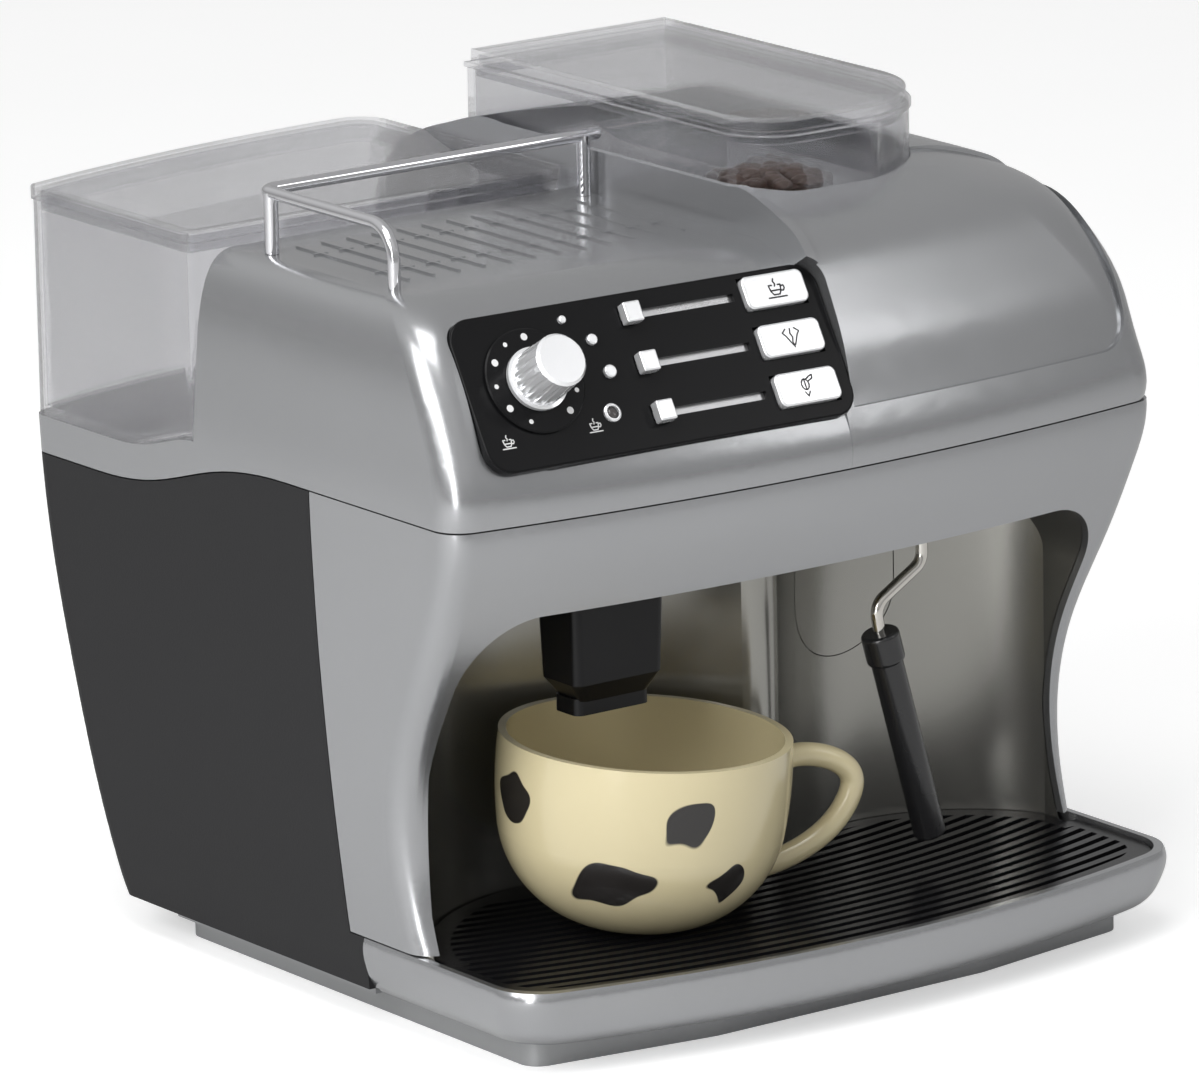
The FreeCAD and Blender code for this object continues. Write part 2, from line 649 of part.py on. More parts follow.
lid_low = TANK_TOP + 0.2
tank_lid = tank_room(0.6, lid_low, lid_low + V["tank_lid_thick"])
tank_lid = tank_lid.cut(tank_room(-V["tank_wall"], lid_low - 1.0, lid_low + V["tank_lid_thick"] - 1.6))
lip_outer = tank_room(-V["tank_wall"] - 0.3, lid_low - 3.0, lid_low + 2.0)
lip_inner = tank_room(-V["tank_wall"] - 1.7, lid_low - 4.0, lid_low + 1.9)
tank_lid = tank_lid.fuse(lip_outer.cut(lip_inner))
feature("tank_lid", tank_lid)

# Bean hopper, its lid and the heap of beans

hopper_top = HOPPER_FLOOR + V["hopper_height"]
hopper = hopper_prism(HOPPER_FLOOR, hopper_top).cut(
    hopper_prism(HOPPER_FLOOR + V["hopper_wall"], hopper_top + 1.0, -V["hopper_wall"]))
feature("bean_hopper", hopper)

cap_low = hopper_top + 0.2
cap_top = cap_low + V["hopper_lid_height"]
cap = hopper_prism(cap_low, cap_top, -0.8).cut(
    hopper_prism(cap_low - 1.0, cap_top - V["hopper_wall"], -0.8 - V["hopper_wall"]))
rim = hopper_prism(cap_low, cap_low + 1.4, 0.7).cut(hopper_prism(cap_low - 1, cap_low + 2, -1.5))
inner_lip = hopper_prism(cap_low - 2.5, cap_low + 1.0, -V["hopper_wall"] - 0.3).cut(
    hopper_prism(cap_low - 3.5, cap_low + 2.0, -V["hopper_wall"] - 1.5))
feature("hopper_lid", cap.fuse(rim).fuse(inner_lip))

# Beans: a moulded heap of half-buried oval beans in the front left of the hopper
bean_floor = HOPPER_FLOOR + V["hopper_wall"] + 0.1
bean_base = Part.makeCylinder(14.0, 1.6, Vector(V["hopper_left"] + 22.0, -28.0, bean_floor))
beans = [bean_base]
for ring, (count, reach, lift) in enumerate(((1, 0.0, 3.4), (5, 6.0, 2.8), (9, 11.0, 1.9))):
    for i in range(count):
        turn = 360.0 * i / count + 25.0 * ring
        bean = Part.makeSphere(3.0)
        stretch = FreeCAD.Matrix()
        stretch.scale(1.35, 0.9, 0.72)
        bean = bean.transformGeometry(stretch)
        angle = math.radians(turn)
        bean.Placement = Placement(
            bean_base.BoundBox.Center + Vector(reach * math.cos(angle), reach * math.sin(angle), lift - 0.8),
            Rotation(Vector(0, 0, 1), 70.0 * i + 40.0 * ring))
        beans.append(bean)
heap = beans[0].fuse(beans[1:]).common(
    block(-FAR, FAR, -FAR, FAR, bean_floor, FAR))
feature("bean_heap", heap)

# Tray moulding under the bay


def tray_level(z, inset):
    return Level(z, HALF - V["tray_side_step"] - inset, V["tray_front"] - V["tray_bow"] - inset,
                 V["tray_bow"], 15.0, 40.0, 10.0, 10.0)


low, top = V["tray_bottom"], V["tray_top"]
tray_outer = stack([tray_level(low, 6.0), tray_level(low + 3.5, 2.6), tray_level(low + 8.0, 0.9),
                    tray_level(top - 3.0, 0.0), tray_level(top, 0.6)])
tray_zone = block(-FAR, FAR, -FAR, -V["tray_start"], low, top)
tray = tray_outer.common(tray_zone)
rim_inset = V["tray_wall"]
seat = stack([tray_level(low + 2.5, rim_inset + 3.0), tray_level(low + 8.0, rim_inset + 0.6),
              tray_level(top + 1.0, rim_inset)])
tray = tray.cut(seat)
# A ledge all round, and three ribs, carry the grille.
ledge_height = V["grille_seat"]
ledge = seat.common(tray_zone).common(block(-FAR, FAR, -FAR, FAR, low, ledge_height))
ledge = ledge.cut(stack([tray_level(low - 1.0, rim_inset + 5.0), tray_level(ledge_height + 1.0, rim_inset + 3.0)]))
tray = tray.fuse(ledge)
for x in (-0.5 * BAY, 0.0, 0.5 * BAY):
    rib = block(x - 1.0, x + 1.0, -V["tray_front"] + 5.0, -V["tray_start"], low + 1.0, ledge_height - 0.3)
    tray = tray.fuse(rib.common(seat))
feature("tray_body", tray.common(tray_zone))

# Drip grille: curved slots that follow the bowed front

grille_low, grille_top = V["grille_seat"], V["grille_seat"] + V["grille_thick"]


def grille_area(border, z0, z1):
    room = bay_plan(-0.6 - border).extrude(Vector(0, 0, z1 - z0))
    room.translate(Vector(0, 0, z0))
    front = Part.Face(level_outline(tray_level(z0, rim_inset + 0.5 + border)))
    apron = front.extrude(Vector(0, 0, z1 - z0))
    wide = apron.common(block(-FAR, FAR, -FAR, -60.5 - border, z0, z1))
    return wide.fuse(room.common(apron))


grille = grille_area(0.0, grille_low, grille_top).removeSplitter()
bow_half = HALF - V["tray_side_step"]
slot_radius = (bow_half ** 2 + V["tray_bow"] ** 2) / (2 * V["tray_bow"])
slot_middle = -V["tray_front"] + slot_radius
slots = []
count = int((V["tray_front"] - 32.0) / V["slot_pitch"])
for i in range(count):
    reach = slot_radius - rim_inset - V["grille_border"] - 1.0 - i * V["slot_pitch"]
    ring = Part.makeCylinder(reach, V["grille_thick"] + 2, Vector(0, slot_middle, grille_low - 1))
    hole = Part.makeCylinder(reach - V["slot_width"], V["grille_thick"] + 2,
                             Vector(0, slot_middle, grille_low - 1))
    slots.append(ring.cut(hole).common(block(-FAR, FAR, -FAR, 0.0, 0.0, FAR)))
openings = Part.makeCompound(slots).common(grille_area(V["grille_border"], grille_low - 1, grille_top + 1))
grille = grille.cut(openings)
for x in (-0.72 * BAY, -0.25 * BAY, 0.25 * BAY, 0.72 * BAY):
    bar = block(x - 0.9, x + 0.9, -FAR, 0.0, grille_low, grille_low + 1.4)
    grille = grille.fuse(bar.common(grille_area(1.0, grille_low, grille_top)))
feature("drip_grille", grille)

# Base pan with the battery well, its door, cells and contacts

base = new_body("base_pan")
outline = new_sketch(base, "base_slab_outline")
half_base = S["base_width"] / 2
front_flat = half_base * 0.45
polygon(outline, [
    (-front_flat, -S["base_front"]), (front_flat, -S["base_front"]),
    (half_base, -S["base_front"] + S["base_bow"]), (half_base, S["base_rear"] - 14.0),
    (half_base - 26.0, S["base_rear"]), (-half_base + 26.0, S["base_rear"]),
    (-half_base, S["base_rear"] - 14.0), (-half_base, -S["base_front"] + S["base_bow"])])
pad(base, outline, S["base_slab"])
round_edges(base, 6.0, along_z)
# The deck above the slab reaches out to the inside of the shells and seats them.
deck_outline = new_sketch(base, "base_deck_outline", offset=S["base_slab"])
deck_half = S["body_width"] / 2 - 8.2 - S["shell_wall"] - S["fit_gap"]
deck_rear = S["rear_reach"] - 25.0 - S["shell_wall"] - S["fit_gap"]
deck_front = -S["tray_start"] + 1.0
polygon(deck_outline, [
    (-deck_half, deck_front), (deck_half, deck_front),
    (deck_half, deck_rear - 20.0), (deck_half * 0.5, deck_rear - 5.5),
    (deck_half * 0.25, deck_rear - 1.8), (-deck_half * 0.25, deck_rear - 1.8),
    (-deck_half * 0.5, deck_rear - 5.5), (-deck_half, deck_rear - 20.0)])
pad(base, deck_outline, S["base_deck"] - S["base_slab"])
well_width = S["cell_pitch"] * 3 + 2.0
well_y = 34.0
box_outline = new_sketch(base, "battery_box_outline", offset=S["base_deck"])
rectangle(box_outline, S["well_length"] + S["well_wall"] * 2, well_width + S["well_wall"] * 2, 0.0, well_y)
pad(base, box_outline, S["well_height"] + S["well_wall"] - S["base_deck"])
well = new_sketch(base, "battery_well")
rectangle(well, S["well_length"], well_width, 0.0, well_y)
pocket(base, well, S["well_height"], up=True)
door_seat = new_sketch(base, "door_seat")
rectangle(door_seat, S["well_length"] + 16.8, well_width + 6.0, 0.0, well_y)
pocket(base, door_seat, S["door_thick"] + 1.0, up=True)
screw_x = S["well_length"] / 2 + 4.5
pilot = new_sketch(base, "screw_pilot")
circle(pilot, 2.8, screw_x, well_y)
pocket(base, pilot, S["base_deck"] + 1.0, up=True)
keep(base, "base_pan")

door = new_body("battery_door")
door_outline = new_sketch(door, "door_outline", offset=0.8)
rectangle(door_outline, S["well_length"] + 16.0, well_width + 5.2, 0.0, well_y)
pad(door, door_outline, S["door_thick"])
round_edges(door, 2.0, along_z)
screw_hole = new_sketch(door, "door_screw_hole", offset=0.8)
circle(screw_hole, 3.0, screw_x, well_y)
pocket(door, screw_hole, S["door_thick"], up=True)
head_seat = new_sketch(door, "screw_head_seat", offset=0.8)
circle(head_seat, 5.8, screw_x, well_y)
pocket(door, head_seat, S["door_thick"] * 0.6, up=True)
keep(door, "battery_door")

CELL_Z = 10.8
for i in range(3):
    cell_y = well_y + (i - 1) * V["cell_pitch"]
    spot = Placement(Vector(-V["cell_length"] / 2 * (1 if i != 1 else -1), cell_y, CELL_Z),
                     Rotation(Vector(0, 1, 0), 90 if i != 1 else -90))
    radius, length = S["cell_diameter"] / 2, S["cell_length"]
    cell = turned(f"battery_cell_{i + 1}", [
        (0.0, 0.0), (radius, 0.0), (radius, length - 1.2), (2.7, length - 1.2),
        (2.7, length), (0.0, length)], spot)
    keep(cell, f"battery_cell_{i + 1}")

# Contact plates stand at both ends of the well, one with three pressed cones for springs.
well_end = V["well_length"] / 2
plate_half = well_width.value / 2 - 0.4
for side, name in ((-1, "contact_plate_left"), (1, "contact_plate_right")):
    x0 = side * (well_end - 0.3)
    plate = block(min(x0, x0 - side * 0.6), max(x0, x0 - side * 0.6), well_y - plate_half,
                  well_y + plate_half, 4.2, 17.5)
    cones = []
    for i in range(3):
        y = well_y + (i - 1) * V["cell_pitch"]
        length = well_end - 0.9 - V["cell_length"] / 2 - 0.15
        cones.append(Part.makeCone(4.0, 2.4, length, Vector(x0 - side * 0.6, y, CELL_Z), Vector(-side, 0, 0)))
    feature(name, plate.fuse(cones))

door_screw = turned("door_screw", [
    (0.0, 0.9), (2.6, 0.9), (2.6, 1.9), (1.3, 1.9), (1.3, 10.0), (0.0, 11.0)],
    Placement(Vector(screw_x.value, well_y, 0.0), Rotation()))
keep(door_screw, "door_screw")

# Control panel parts, all drawn in the panel's own frame

ROWS = [S["row_pitch"] * k + 1.2 for k in (1, 0, -1)]
BUTTON_U = S["panel_width"] / 2 - 14.5
SLIDER_U = S["panel_width"] / 2 - 60.3
KNOB_U, KNOB_V = -S["panel_width"] / 2 + 20.6, Size.of(1.8)
LENS_U, LENS_V = -S["panel_width"] / 2 + 40.3, Size.of(-10.2)
BACK = -S["panel_thick"]

panel = new_body("control_panel", PANEL)
panel_outline = new_sketch(panel, "panel_outline")
rectangle(panel_outline, S["panel_width"], S["panel_height"])
pad(panel, panel_outline, S["panel_thick"], down=True)
round_edges(panel, S["panel_corner"], along_z)
round_edges(panel, 0.6, at_height(0.0))
cutouts = new_sketch(panel, "panel_cutouts")
for row_v in ROWS:
    rectangle(cutouts, S["button_width"] + 0.5, S["button_height"] + 0.5, BUTTON_U, row_v)
circle(cutouts, S["shaft_diameter"] + 0.6, KNOB_U, KNOB_V)
circle(cutouts, S["lens_diameter"] + 0.3, LENS_U, LENS_V)
pocket(panel, cutouts, S["panel_thick"])
grooves = new_sketch(panel, "slider_grooves")
GROOVE_U, GROOVE_LENGTH = SLIDER_U + S["slider_travel"] / 2, S["slider_travel"] + 5.0
for row_v in ROWS:
    rectangle(grooves, GROOVE_LENGTH, S["slider_slot"], GROOVE_U, row_v)
pocket(panel, grooves, S["groove_depth"])
boss_sketch = new_sketch(panel, "panel_bosses", offset=BACK)
for u, v in ((-44.0, 14.0), (-44.0, -14.0), (28.0, 8.3), (28.0, -5.6)):
    circle(boss_sketch, 4.6, u, v)
pad(panel, boss_sketch, S["board_depth"] - S["panel_thick"] - 0.2, down=True)
keep(panel, "control_panel")

board = new_body("circuit_board", PANEL)
board_outline = new_sketch(board, "board_outline", offset=-S["board_depth"])
rectangle(board_outline, S["panel_width"] - 12.0, S["panel_height"] - 6.0)
pad(board, board_outline, S["board_thick"], down=True)
keep(board, "circuit_board")

ICONS = ("cup", "steam", "scoop")
for icon, row_v in zip(ICONS, ROWS):
    button = new_body(f"button_{icon}", PANEL)
    face = new_sketch(button, f"{icon}_face", offset=S["button_proud"])
    rectangle(face, S["button_width"], S["button_height"], BUTTON_U, row_v)
    pad(button, face, S["button_proud"] + S["panel_thick"] + 1.6, down=True)
    round_edges(button, 2.0, along_z)
    round_edges(button, 0.6, at_height(V["button_proud"]))
    stem = new_sketch(button, f"{icon}_stem", offset=BACK - 1.6)
    rectangle(stem, 3.0, 3.0, BUTTON_U, row_v)
    pad(button, stem, 3.0, down=True)
    keep(button, f"button_{icon}")
    switch_top = S["board_depth"] - S["panel_thick"] - 4.6 - S["button_travel"] - 0.4
    switch = new_body(f"tact_switch_{icon}", PANEL)
    switch_base = new_sketch(switch, f"{icon}_switch", offset=-S["board_depth"])
    rectangle(switch_base, 6.0, 6.0, BUTTON_U, row_v)
    pad(switch, switch_base, switch_top)
    keep(switch, f"tact_switch_{icon}")

# Each slider rides in a blind groove whose floor is a bright metal strip.
STRIP_THICK = 0.5
for i, row_v in enumerate(ROWS, 1):
    slider = new_body(f"slider_{i}", PANEL)
    cap_sketch = new_sketch(slider, f"slider_cap_{i}", offset=0.25)
    rectangle(cap_sketch, S["slider_size"], S["slider_size"] + 0.4, SLIDER_U, row_v)
    pad(slider, cap_sketch, 3.4)
    round_edges(slider, 0.5, lambda edge: True)
    foot_sketch = new_sketch(slider, f"slider_foot_{i}", offset=1.0)
    rectangle(foot_sketch, 3.4, S["slider_slot"] - S["fit_gap"] * 2, SLIDER_U, row_v)
    pad(slider, foot_sketch, S["groove_depth"] - STRIP_THICK - S["fit_gap"] + 1.0, down=True)
    keep(slider, f"slider_{i}")
    strip = new_body(f"slot_strip_{i}", PANEL)
    strip_sketch = new_sketch(strip, f"strip_{i}", offset=-S["groove_depth"])
    rectangle(strip_sketch, GROOVE_LENGTH, S["slider_slot"], GROOVE_U, row_v)
    pad(strip, strip_sketch, STRIP_THICK)
    keep(strip, f"slot_strip_{i}")

knob_spot = PANEL.multiply(Placement(Vector(KNOB_U.value, KNOB_V.value, 0), Rotation()))
skirt_radius = S["skirt_diameter"] / 2
skirt = turned("dial_disc", [
    (S["shaft_diameter"] / 2 + 0.4, 0.1), (skirt_radius, 0.1), (skirt_radius, S["skirt_thick"] - 0.3),
    (skirt_radius - 0.4, S["skirt_thick"]), (S["shaft_diameter"] / 2 + 0.4, S["skirt_thick"])], knob_spot)
keep(skirt, "dial_disc")

knob_radius = S["knob_diameter"] / 2
knob_low = S["skirt_thick"] + 0.3
knob_top = knob_low + S["knob_height"]
knob = turned("selector_knob", [
    (0.0, knob_low), (knob_radius + 0.9, knob_low), (knob_radius + 0.9, knob_low + 1.2),
    (knob_radius, knob_low + 1.4), (knob_radius - 0.5, knob_top - 0.8),
    (knob_radius - 1.2, knob_top), (0.0, knob_top)], knob_spot)
shaft_sketch = new_sketch(knob, "knob_shaft", offset=knob_low)
circle(shaft_sketch, S["shaft_diameter"])
pad(knob, shaft_sketch, S["panel_thick"] + knob_low + 4.0, down=True)
flute = new_sketch(knob, "knob_flute", offset=knob_top)
circle(flute, S["flute_depth"] * 2.6, 0.0, knob_radius + 0.15)
flute_cut = pocket(knob, flute, S["knob_height"] - 1.6)
pattern = knob.newObject("PartDesign::PolarPattern", "knob_flutes")
pattern.Originals = [flute_cut]
pattern.Axis = (flute, ["N_Axis"])
pattern.Angle = 360
pattern.Occurrences = int(V["flute_count"])
knob.Tip = pattern
doc.recompute()
keep(knob, "selector_knob")

rotary = turned("rotary_switch", [
    (S["shaft_diameter"] / 2 + 0.35, -S["board_depth"]), (8.0, -S["board_depth"]),
    (8.0, -S["panel_thick"] - 0.5), (S["shaft_diameter"] / 2 + 0.35, -S["panel_thick"] - 0.5)], knob_spot)
keep(rotary, "rotary_switch")

lens_spot = PANEL.multiply(Placement(Vector(LENS_U.value, LENS_V.value, 0), Rotation()))
bezel = turned("lamp_bezel", [
    (S["lens_diameter"] / 2 + 0.2, 0.05), (2.5, 0.05), (2.5, 0.7), (2.1, 0.95),
    (S["lens_diameter"] / 2 + 0.2, 0.95)], lens_spot)
keep(bezel, "lamp_bezel")
lamp = turned("lamp_lens", [
    (0.0, -S["board_depth"]), (S["lens_diameter"] / 2, -S["board_depth"]),
    (S["lens_diameter"] / 2, 0.2), (0.9, 0.75), (0.0, 0.9)], lens_spot)
keep(lamp, "lamp_lens")

stud_shapes = []
for u, v, diameter in ((13.9, 16.7, 2.2), (20.8, 10.1, 3.0), (23.0, 0.8, 3.6)):
    stud = Part.makeCylinder(diameter / 2, 1.2, Vector(KNOB_U.value + u, v, 0.05))
    stud = stud.makeFillet(0.45, [e for e in stud.Edges if e.CenterOfMass.z > 1.2])
    stud_shapes.append(stud)
feature("dial_studs", Part.makeCompound(stud_shapes), PANEL)

# Chrome rail round the cup shelf

rail_z, rail_x, rail_y = DECK + V["rail_rise"], -HALF + 14.6, 19.0
elbow = 9.0
foot_y = rail_y - V["rail_depth"]
free_end, right_post = V["hopper_left"] - 0.8, V["hump_left"] - 3.0
tight = 4.0
bend = math.sqrt(0.5)
path = Part.Wire([
    Part.makeLine(Vector(free_end, rail_y, rail_z), Vector(rail_x + tight, rail_y, rail_z)),
    Part.Arc(Vector(rail_x + tight, rail_y, rail_z),
             Vector(rail_x + tight - tight * bend, rail_y - tight + tight * bend, rail_z),
             Vector(rail_x, rail_y - tight, rail_z)).toShape(),
    Part.makeLine(Vector(rail_x, rail_y - tight, rail_z), Vector(rail_x, foot_y + elbow, rail_z)),
    Part.Arc(Vector(rail_x, foot_y + elbow, rail_z),
             Vector(rail_x, foot_y + elbow - elbow * bend, rail_z - elbow + elbow * bend),
             Vector(rail_x, foot_y, rail_z - elbow)).toShape(),
    Part.makeLine(Vector(rail_x, foot_y, rail_z - elbow), Vector(rail_x, foot_y, DECK - 1.8)),
])
ring = Part.Wire(Part.makeCircle(V["rail_diameter"] / 2, Vector(free_end, rail_y, rail_z), Vector(-1, 0, 0)))
rail = path.makePipeShell([ring], True, False)
posts = [
    Part.makeCylinder(V["rail_post"] / 2, V["rail_rise"], Vector(x, y, DECK + 0.1))
    for x, y in ((rail_x, rail_y - tight), (right_post, rail_y))
]
# The feet end on the hood's own surface.
feature("rail", rail.fuse(posts).cut(hood))

# Spout under the header, over the cup

spout_x, spout_front = -0.512 * BAY, -71.0
spout_top, spout_low = HEADER - 0.2, HEADER - V["spout_length"]
half, depth, draw = V["spout_width"] / 2, V["spout_depth"], V["spout_taper"]


def spout_ring(z, inset, radius=2.5):
    """Rounded rectangle at one height; the front draws in less than the back."""
    x0, x1 = spout_x - half + inset, spout_x + half - inset
    y0, y1 = spout_front + inset * 0.6, spout_front + depth - inset
    mid = radius * (1 - math.sqrt(0.5))
    edges = []
    corners = [(x0, y0, 1, 1), (x1, y0, -1, 1), (x1, y1, -1, -1), (x0, y1, 1, -1)]
    ends = []
    for i, (x, y, dx, dy) in enumerate(corners):
        beside = Vector(x, y + dy * radius, z)
        along = Vector(x + dx * radius, y, z)
        first, last = (beside, along) if i % 2 == 0 else (along, beside)
        ends.append((first, last))
        edges.append(Part.Arc(first, Vector(x + dx * mid, y + dy * mid, z), last).toShape())
        if i:
            edges.insert(-1, Part.makeLine(ends[i - 1][1], first))
    edges.append(Part.makeLine(ends[-1][1], ends[0][0]))
    return Part.Wire(edges)


spout = Part.makeLoft([spout_ring(spout_top, 0.0), spout_ring(spout_low + 8.0, draw * 0.4),
                       spout_ring(spout_low + 3.0, draw * 2.0)], True, True)
# One flat nozzle block under the spout holds both outlets.
NOZZLE_WIDTH, NOZZLE_DEPTH, NOZZLE_DROP, OUTLET_RADIUS = 24.0, 11.0, 4.0, 1.6
nozzle_y = spout_front + depth / 2
nozzle = block(spout_x - NOZZLE_WIDTH / 2, spout_x + NOZZLE_WIDTH / 2, nozzle_y - NOZZLE_DEPTH / 2,
               nozzle_y + NOZZLE_DEPTH / 2, spout_low - 1.0, spout_low - 1.0 + NOZZLE_DROP + 0.5)
nozzle = nozzle.makeFillet(2.5, [edge for edge in nozzle.Edges if along_z(edge)])
spout = spout.fuse(nozzle)
for x in (spout_x - 6.5, spout_x + 6.5):
    spout = spout.cut(Part.makeCylinder(OUTLET_RADIUS, 9.0, Vector(x, nozzle_y, spout_low - 2.0)))
feature("spout", spout)

nub_x, nub_y = 20.2, -68.0
nub = Part.makeSphere(3.2, Vector(nub_x, nub_y, HEADER - 1.7)).common(
    block(-FAR, FAR, -FAR, FAR, -FAR, HEADER - 0.2))
feature("outlet_nub", nub)

# Steam wand: a bent metal tube that turns in the header, with a black sleeve

reach = V["wand_reach"]
wand_points = [
    Vector(0, 0, 4.0), Vector(0, 0, -10.9), Vector(-reach, 0, -20.4), Vector(-reach + 2.4, 0, -33.9)]
turn = 5.0


def rounded_path(points, radius):
    """Straight runs joined by tangent arcs."""
    edges, start = [], points[0]
    for before, point, after in zip(points, points[1:], points[2:]):
        to_before = (before - point).normalize()
        to_after = (after - point).normalize()
        angle = to_before.getAngle(to_after)
        back = radius / math.tan(angle / 2)
        enter, leave = point + to_before * back, point + to_after * back
        middle = (to_before + to_after).normalize()
        centre = point + middle * (radius / math.sin(angle / 2))
        edges.append(Part.makeLine(start, enter))
        edges.append(Part.Arc(enter, centre - middle * radius, leave).toShape())
        start = leave
    edges.append(Part.makeLine(start, points[-1]))
    return Part.Wire(edges)


wand_path = rounded_path(wand_points, turn)
wand_ring = Part.Wire(Part.makeCircle(V["pipe_diameter"] / 2, wand_points[0], Vector(0, 0, -1)))
pipe = wand_path.makePipeShell([wand_ring], True, False)
# A collar under the roof and a ring above it hold the tube in its bore.
pivot = Part.makeCylinder(3.0, 2.0, Vector(0, 0, -2.3))
stop_ring = Part.makeCylinder(4.5, 1.4, Vector(0, 0, LINER + 0.3))
wand_at = Placement(Vector(WAND_X, WAND_Y, HEADER), Rotation())
feature("steam_pipe", pipe.fuse([pivot, stop_ring]), wand_at)

sleeve_top = Vector(-reach + 1.3, 0, -27.9)
sleeve_axis = Vector(17.2, 0, -61.5).normalize()
shell = Part.makeCylinder(V["sleeve_diameter"] / 2, V["sleeve_length"] + 5.0)
shell = shell.makeFillet(1.2, [e for e in shell.Edges if e.CenterOfMass.z > V["sleeve_length"]
                               and e.Curve.TypeId == "Part::GeomCircle"])
collar = Part.makeCylinder(V["collar_diameter"] / 2, 9.0)
collar = collar.makeFillet(1.2, [e for e in collar.Edges if e.Curve.TypeId == "Part::GeomCircle"])
sleeve = collar.fuse(shell)
sleeve.Placement = Placement(sleeve_top, Rotation(Vector(0, 0, 1), sleeve_axis))
sleeve = sleeve.cut(pipe)
feature("wand_sleeve", sleeve, wand_at)

# Cup with a loop handle, leaning a little on the grille

cup_lean = Rotation(Vector(0.6, 0.8, 0), V["cup_lean"])
cup_foot_rise = V["cup_foot"] * math.sin(math.radians(V["cup_lean"]))
cup_at = Placement(Vector(-42.5, -60.0, grille_top + 0.3 + cup_foot_rise), cup_lean)
foot, rim_radius, height, wall = V["cup_foot"], V["cup_radius"], V["cup_height"], V["cup_wall"]


def bowl_outline(inset, floor):
    """Half outline of the bowl: a small foot, a round belly and a steep upper wall."""
    belly = Vector(rim_radius - 6.0 - inset, 0, 11.5 + floor * 0.6)
    shoulder = Vector(rim_radius - 0.9 - inset, 0, 24.0)
    start = Vector(foot - inset, 0, floor)
    edges = [
        Part.makeLine(Vector(0, 0, floor), start),
        Part.Arc(start, belly, shoulder).toShape(),
        Part.Arc(shoulder, Vector(rim_radius + 0.3 - inset, 0, 0.5 * (24.0 + height)),
                 Vector(rim_radius - inset, 0, height + (1.0 if inset else 0.0))).toShape(),
    ]
    top = edges[-1].Vertexes[-1].Point
    edges.append(Part.makeLine(top, Vector(0, 0, top.z)))
    edges.append(Part.makeLine(Vector(0, 0, top.z), Vector(0, 0, floor)))
    return Part.Face(Part.Wire(edges)).revolve(Vector(), Vector(0, 0, 1), 360)


bowl = bowl_outline(0.0, 0.0).cut(bowl_outline(wall, 2.8))
handle_turn = Rotation(Vector(0, 0, 1), -12.0)
hand = V["cup_handle_reach"]
handle_points = [Vector(reach, 0, rise * height / 50.0) for reach, rise in (
    (rim_radius - 1.5, 38.0), (hand - 10.8, 40.5), (hand, 33.0), (hand - 1.7, 26.0),
    (hand - 8.7, 18.0), (hand - 20.7, 12.0), (30.0, 9.5))]
curve = Part.BSplineCurve()
curve.interpolate(handle_points)
section = Part.Wire(Part.makeCircle(V["cup_handle_thick"] / 2, handle_points[0],
                                    curve.tangent(curve.FirstParameter)[0]))
handle = Part.Wire(curve.toShape()).makePipeShell([section], True, False)
handle = handle.cut(bowl_outline(wall * 0.5, 1.4))
handle.Placement = Placement(Vector(), handle_turn)
feature("cup", bowl.fuse(handle), cup_at)

# Speaker on the inside of the base, behind the battery box

speaker = turned("speaker", [
    (0.0, 0.0), (18.0, 0.0), (18.0, 2.0), (12.0, 5.5), (9.0, 5.5), (9.0, 9.0), (0.0, 9.0)],
    Placement(Vector(62.0, 24.0, V["base_deck"] + 0.2), Rotation()))
keep(speaker, "speaker")

# Check every object, then write each piece

doc.recompute()
for obj in doc.Objects:
    if "Invalid" in obj.State or "Error" in obj.State:
        raise RuntimeError(f"{obj.Name} failed: {obj.State}")

os.makedirs("parts", exist_ok=True)
for obj in parts:
    shape = obj.Shape
    if shape.isNull() or not shape.isValid():
        raise RuntimeError(f"{obj.Label} has a bad shape")
    shape.exportStep(f"parts/{obj.Label}.step")
    print(obj.Label, len(shape.Solids), round(shape.Volume), shape.BoundBox)
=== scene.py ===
import math

import bpy
from mathutils import Matrix, Vector


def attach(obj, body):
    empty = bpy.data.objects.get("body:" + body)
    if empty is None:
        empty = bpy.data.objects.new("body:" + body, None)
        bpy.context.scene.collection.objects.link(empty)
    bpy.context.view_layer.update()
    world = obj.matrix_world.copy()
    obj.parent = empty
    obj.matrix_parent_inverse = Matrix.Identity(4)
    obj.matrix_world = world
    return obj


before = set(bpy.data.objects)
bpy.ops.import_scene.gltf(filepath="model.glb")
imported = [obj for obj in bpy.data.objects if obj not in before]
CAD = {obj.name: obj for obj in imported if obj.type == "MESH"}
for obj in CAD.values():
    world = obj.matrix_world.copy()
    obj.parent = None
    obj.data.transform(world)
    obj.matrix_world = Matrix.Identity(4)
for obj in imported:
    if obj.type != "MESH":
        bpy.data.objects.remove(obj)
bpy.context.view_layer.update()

# Table and backdrop.
# The toy stands on a plain pale table top; a white studio wall closes the view behind it.
# Four soft boxes hang round it, so the silver paint gets long highlights.

scene = bpy.context.scene
scene.view_settings.view_transform = "Standard"


def new_material(name):
    material = bpy.data.materials.new(name)
    material.use_nodes = True
    return material, material.node_tree, material.node_tree.nodes["Principled BSDF"]


def add(tree, kind, settings=None, **inputs):
    """One shader node with its settings and plain input values."""
    made = tree.nodes.new(kind)
    for key, value in (settings or {}).items():
        setattr(made, key, value)
    for key, value in inputs.items():
        made.inputs[key.replace("_", " ")].default_value = value
    return made


def join(tree, source, target):
    tree.links.new(source, target)


TABLE_SIZE = 8.0
TABLE_GLOW = 0.46
ROOM_LIGHT = 0.42
CEILING_SHARE = 0.5

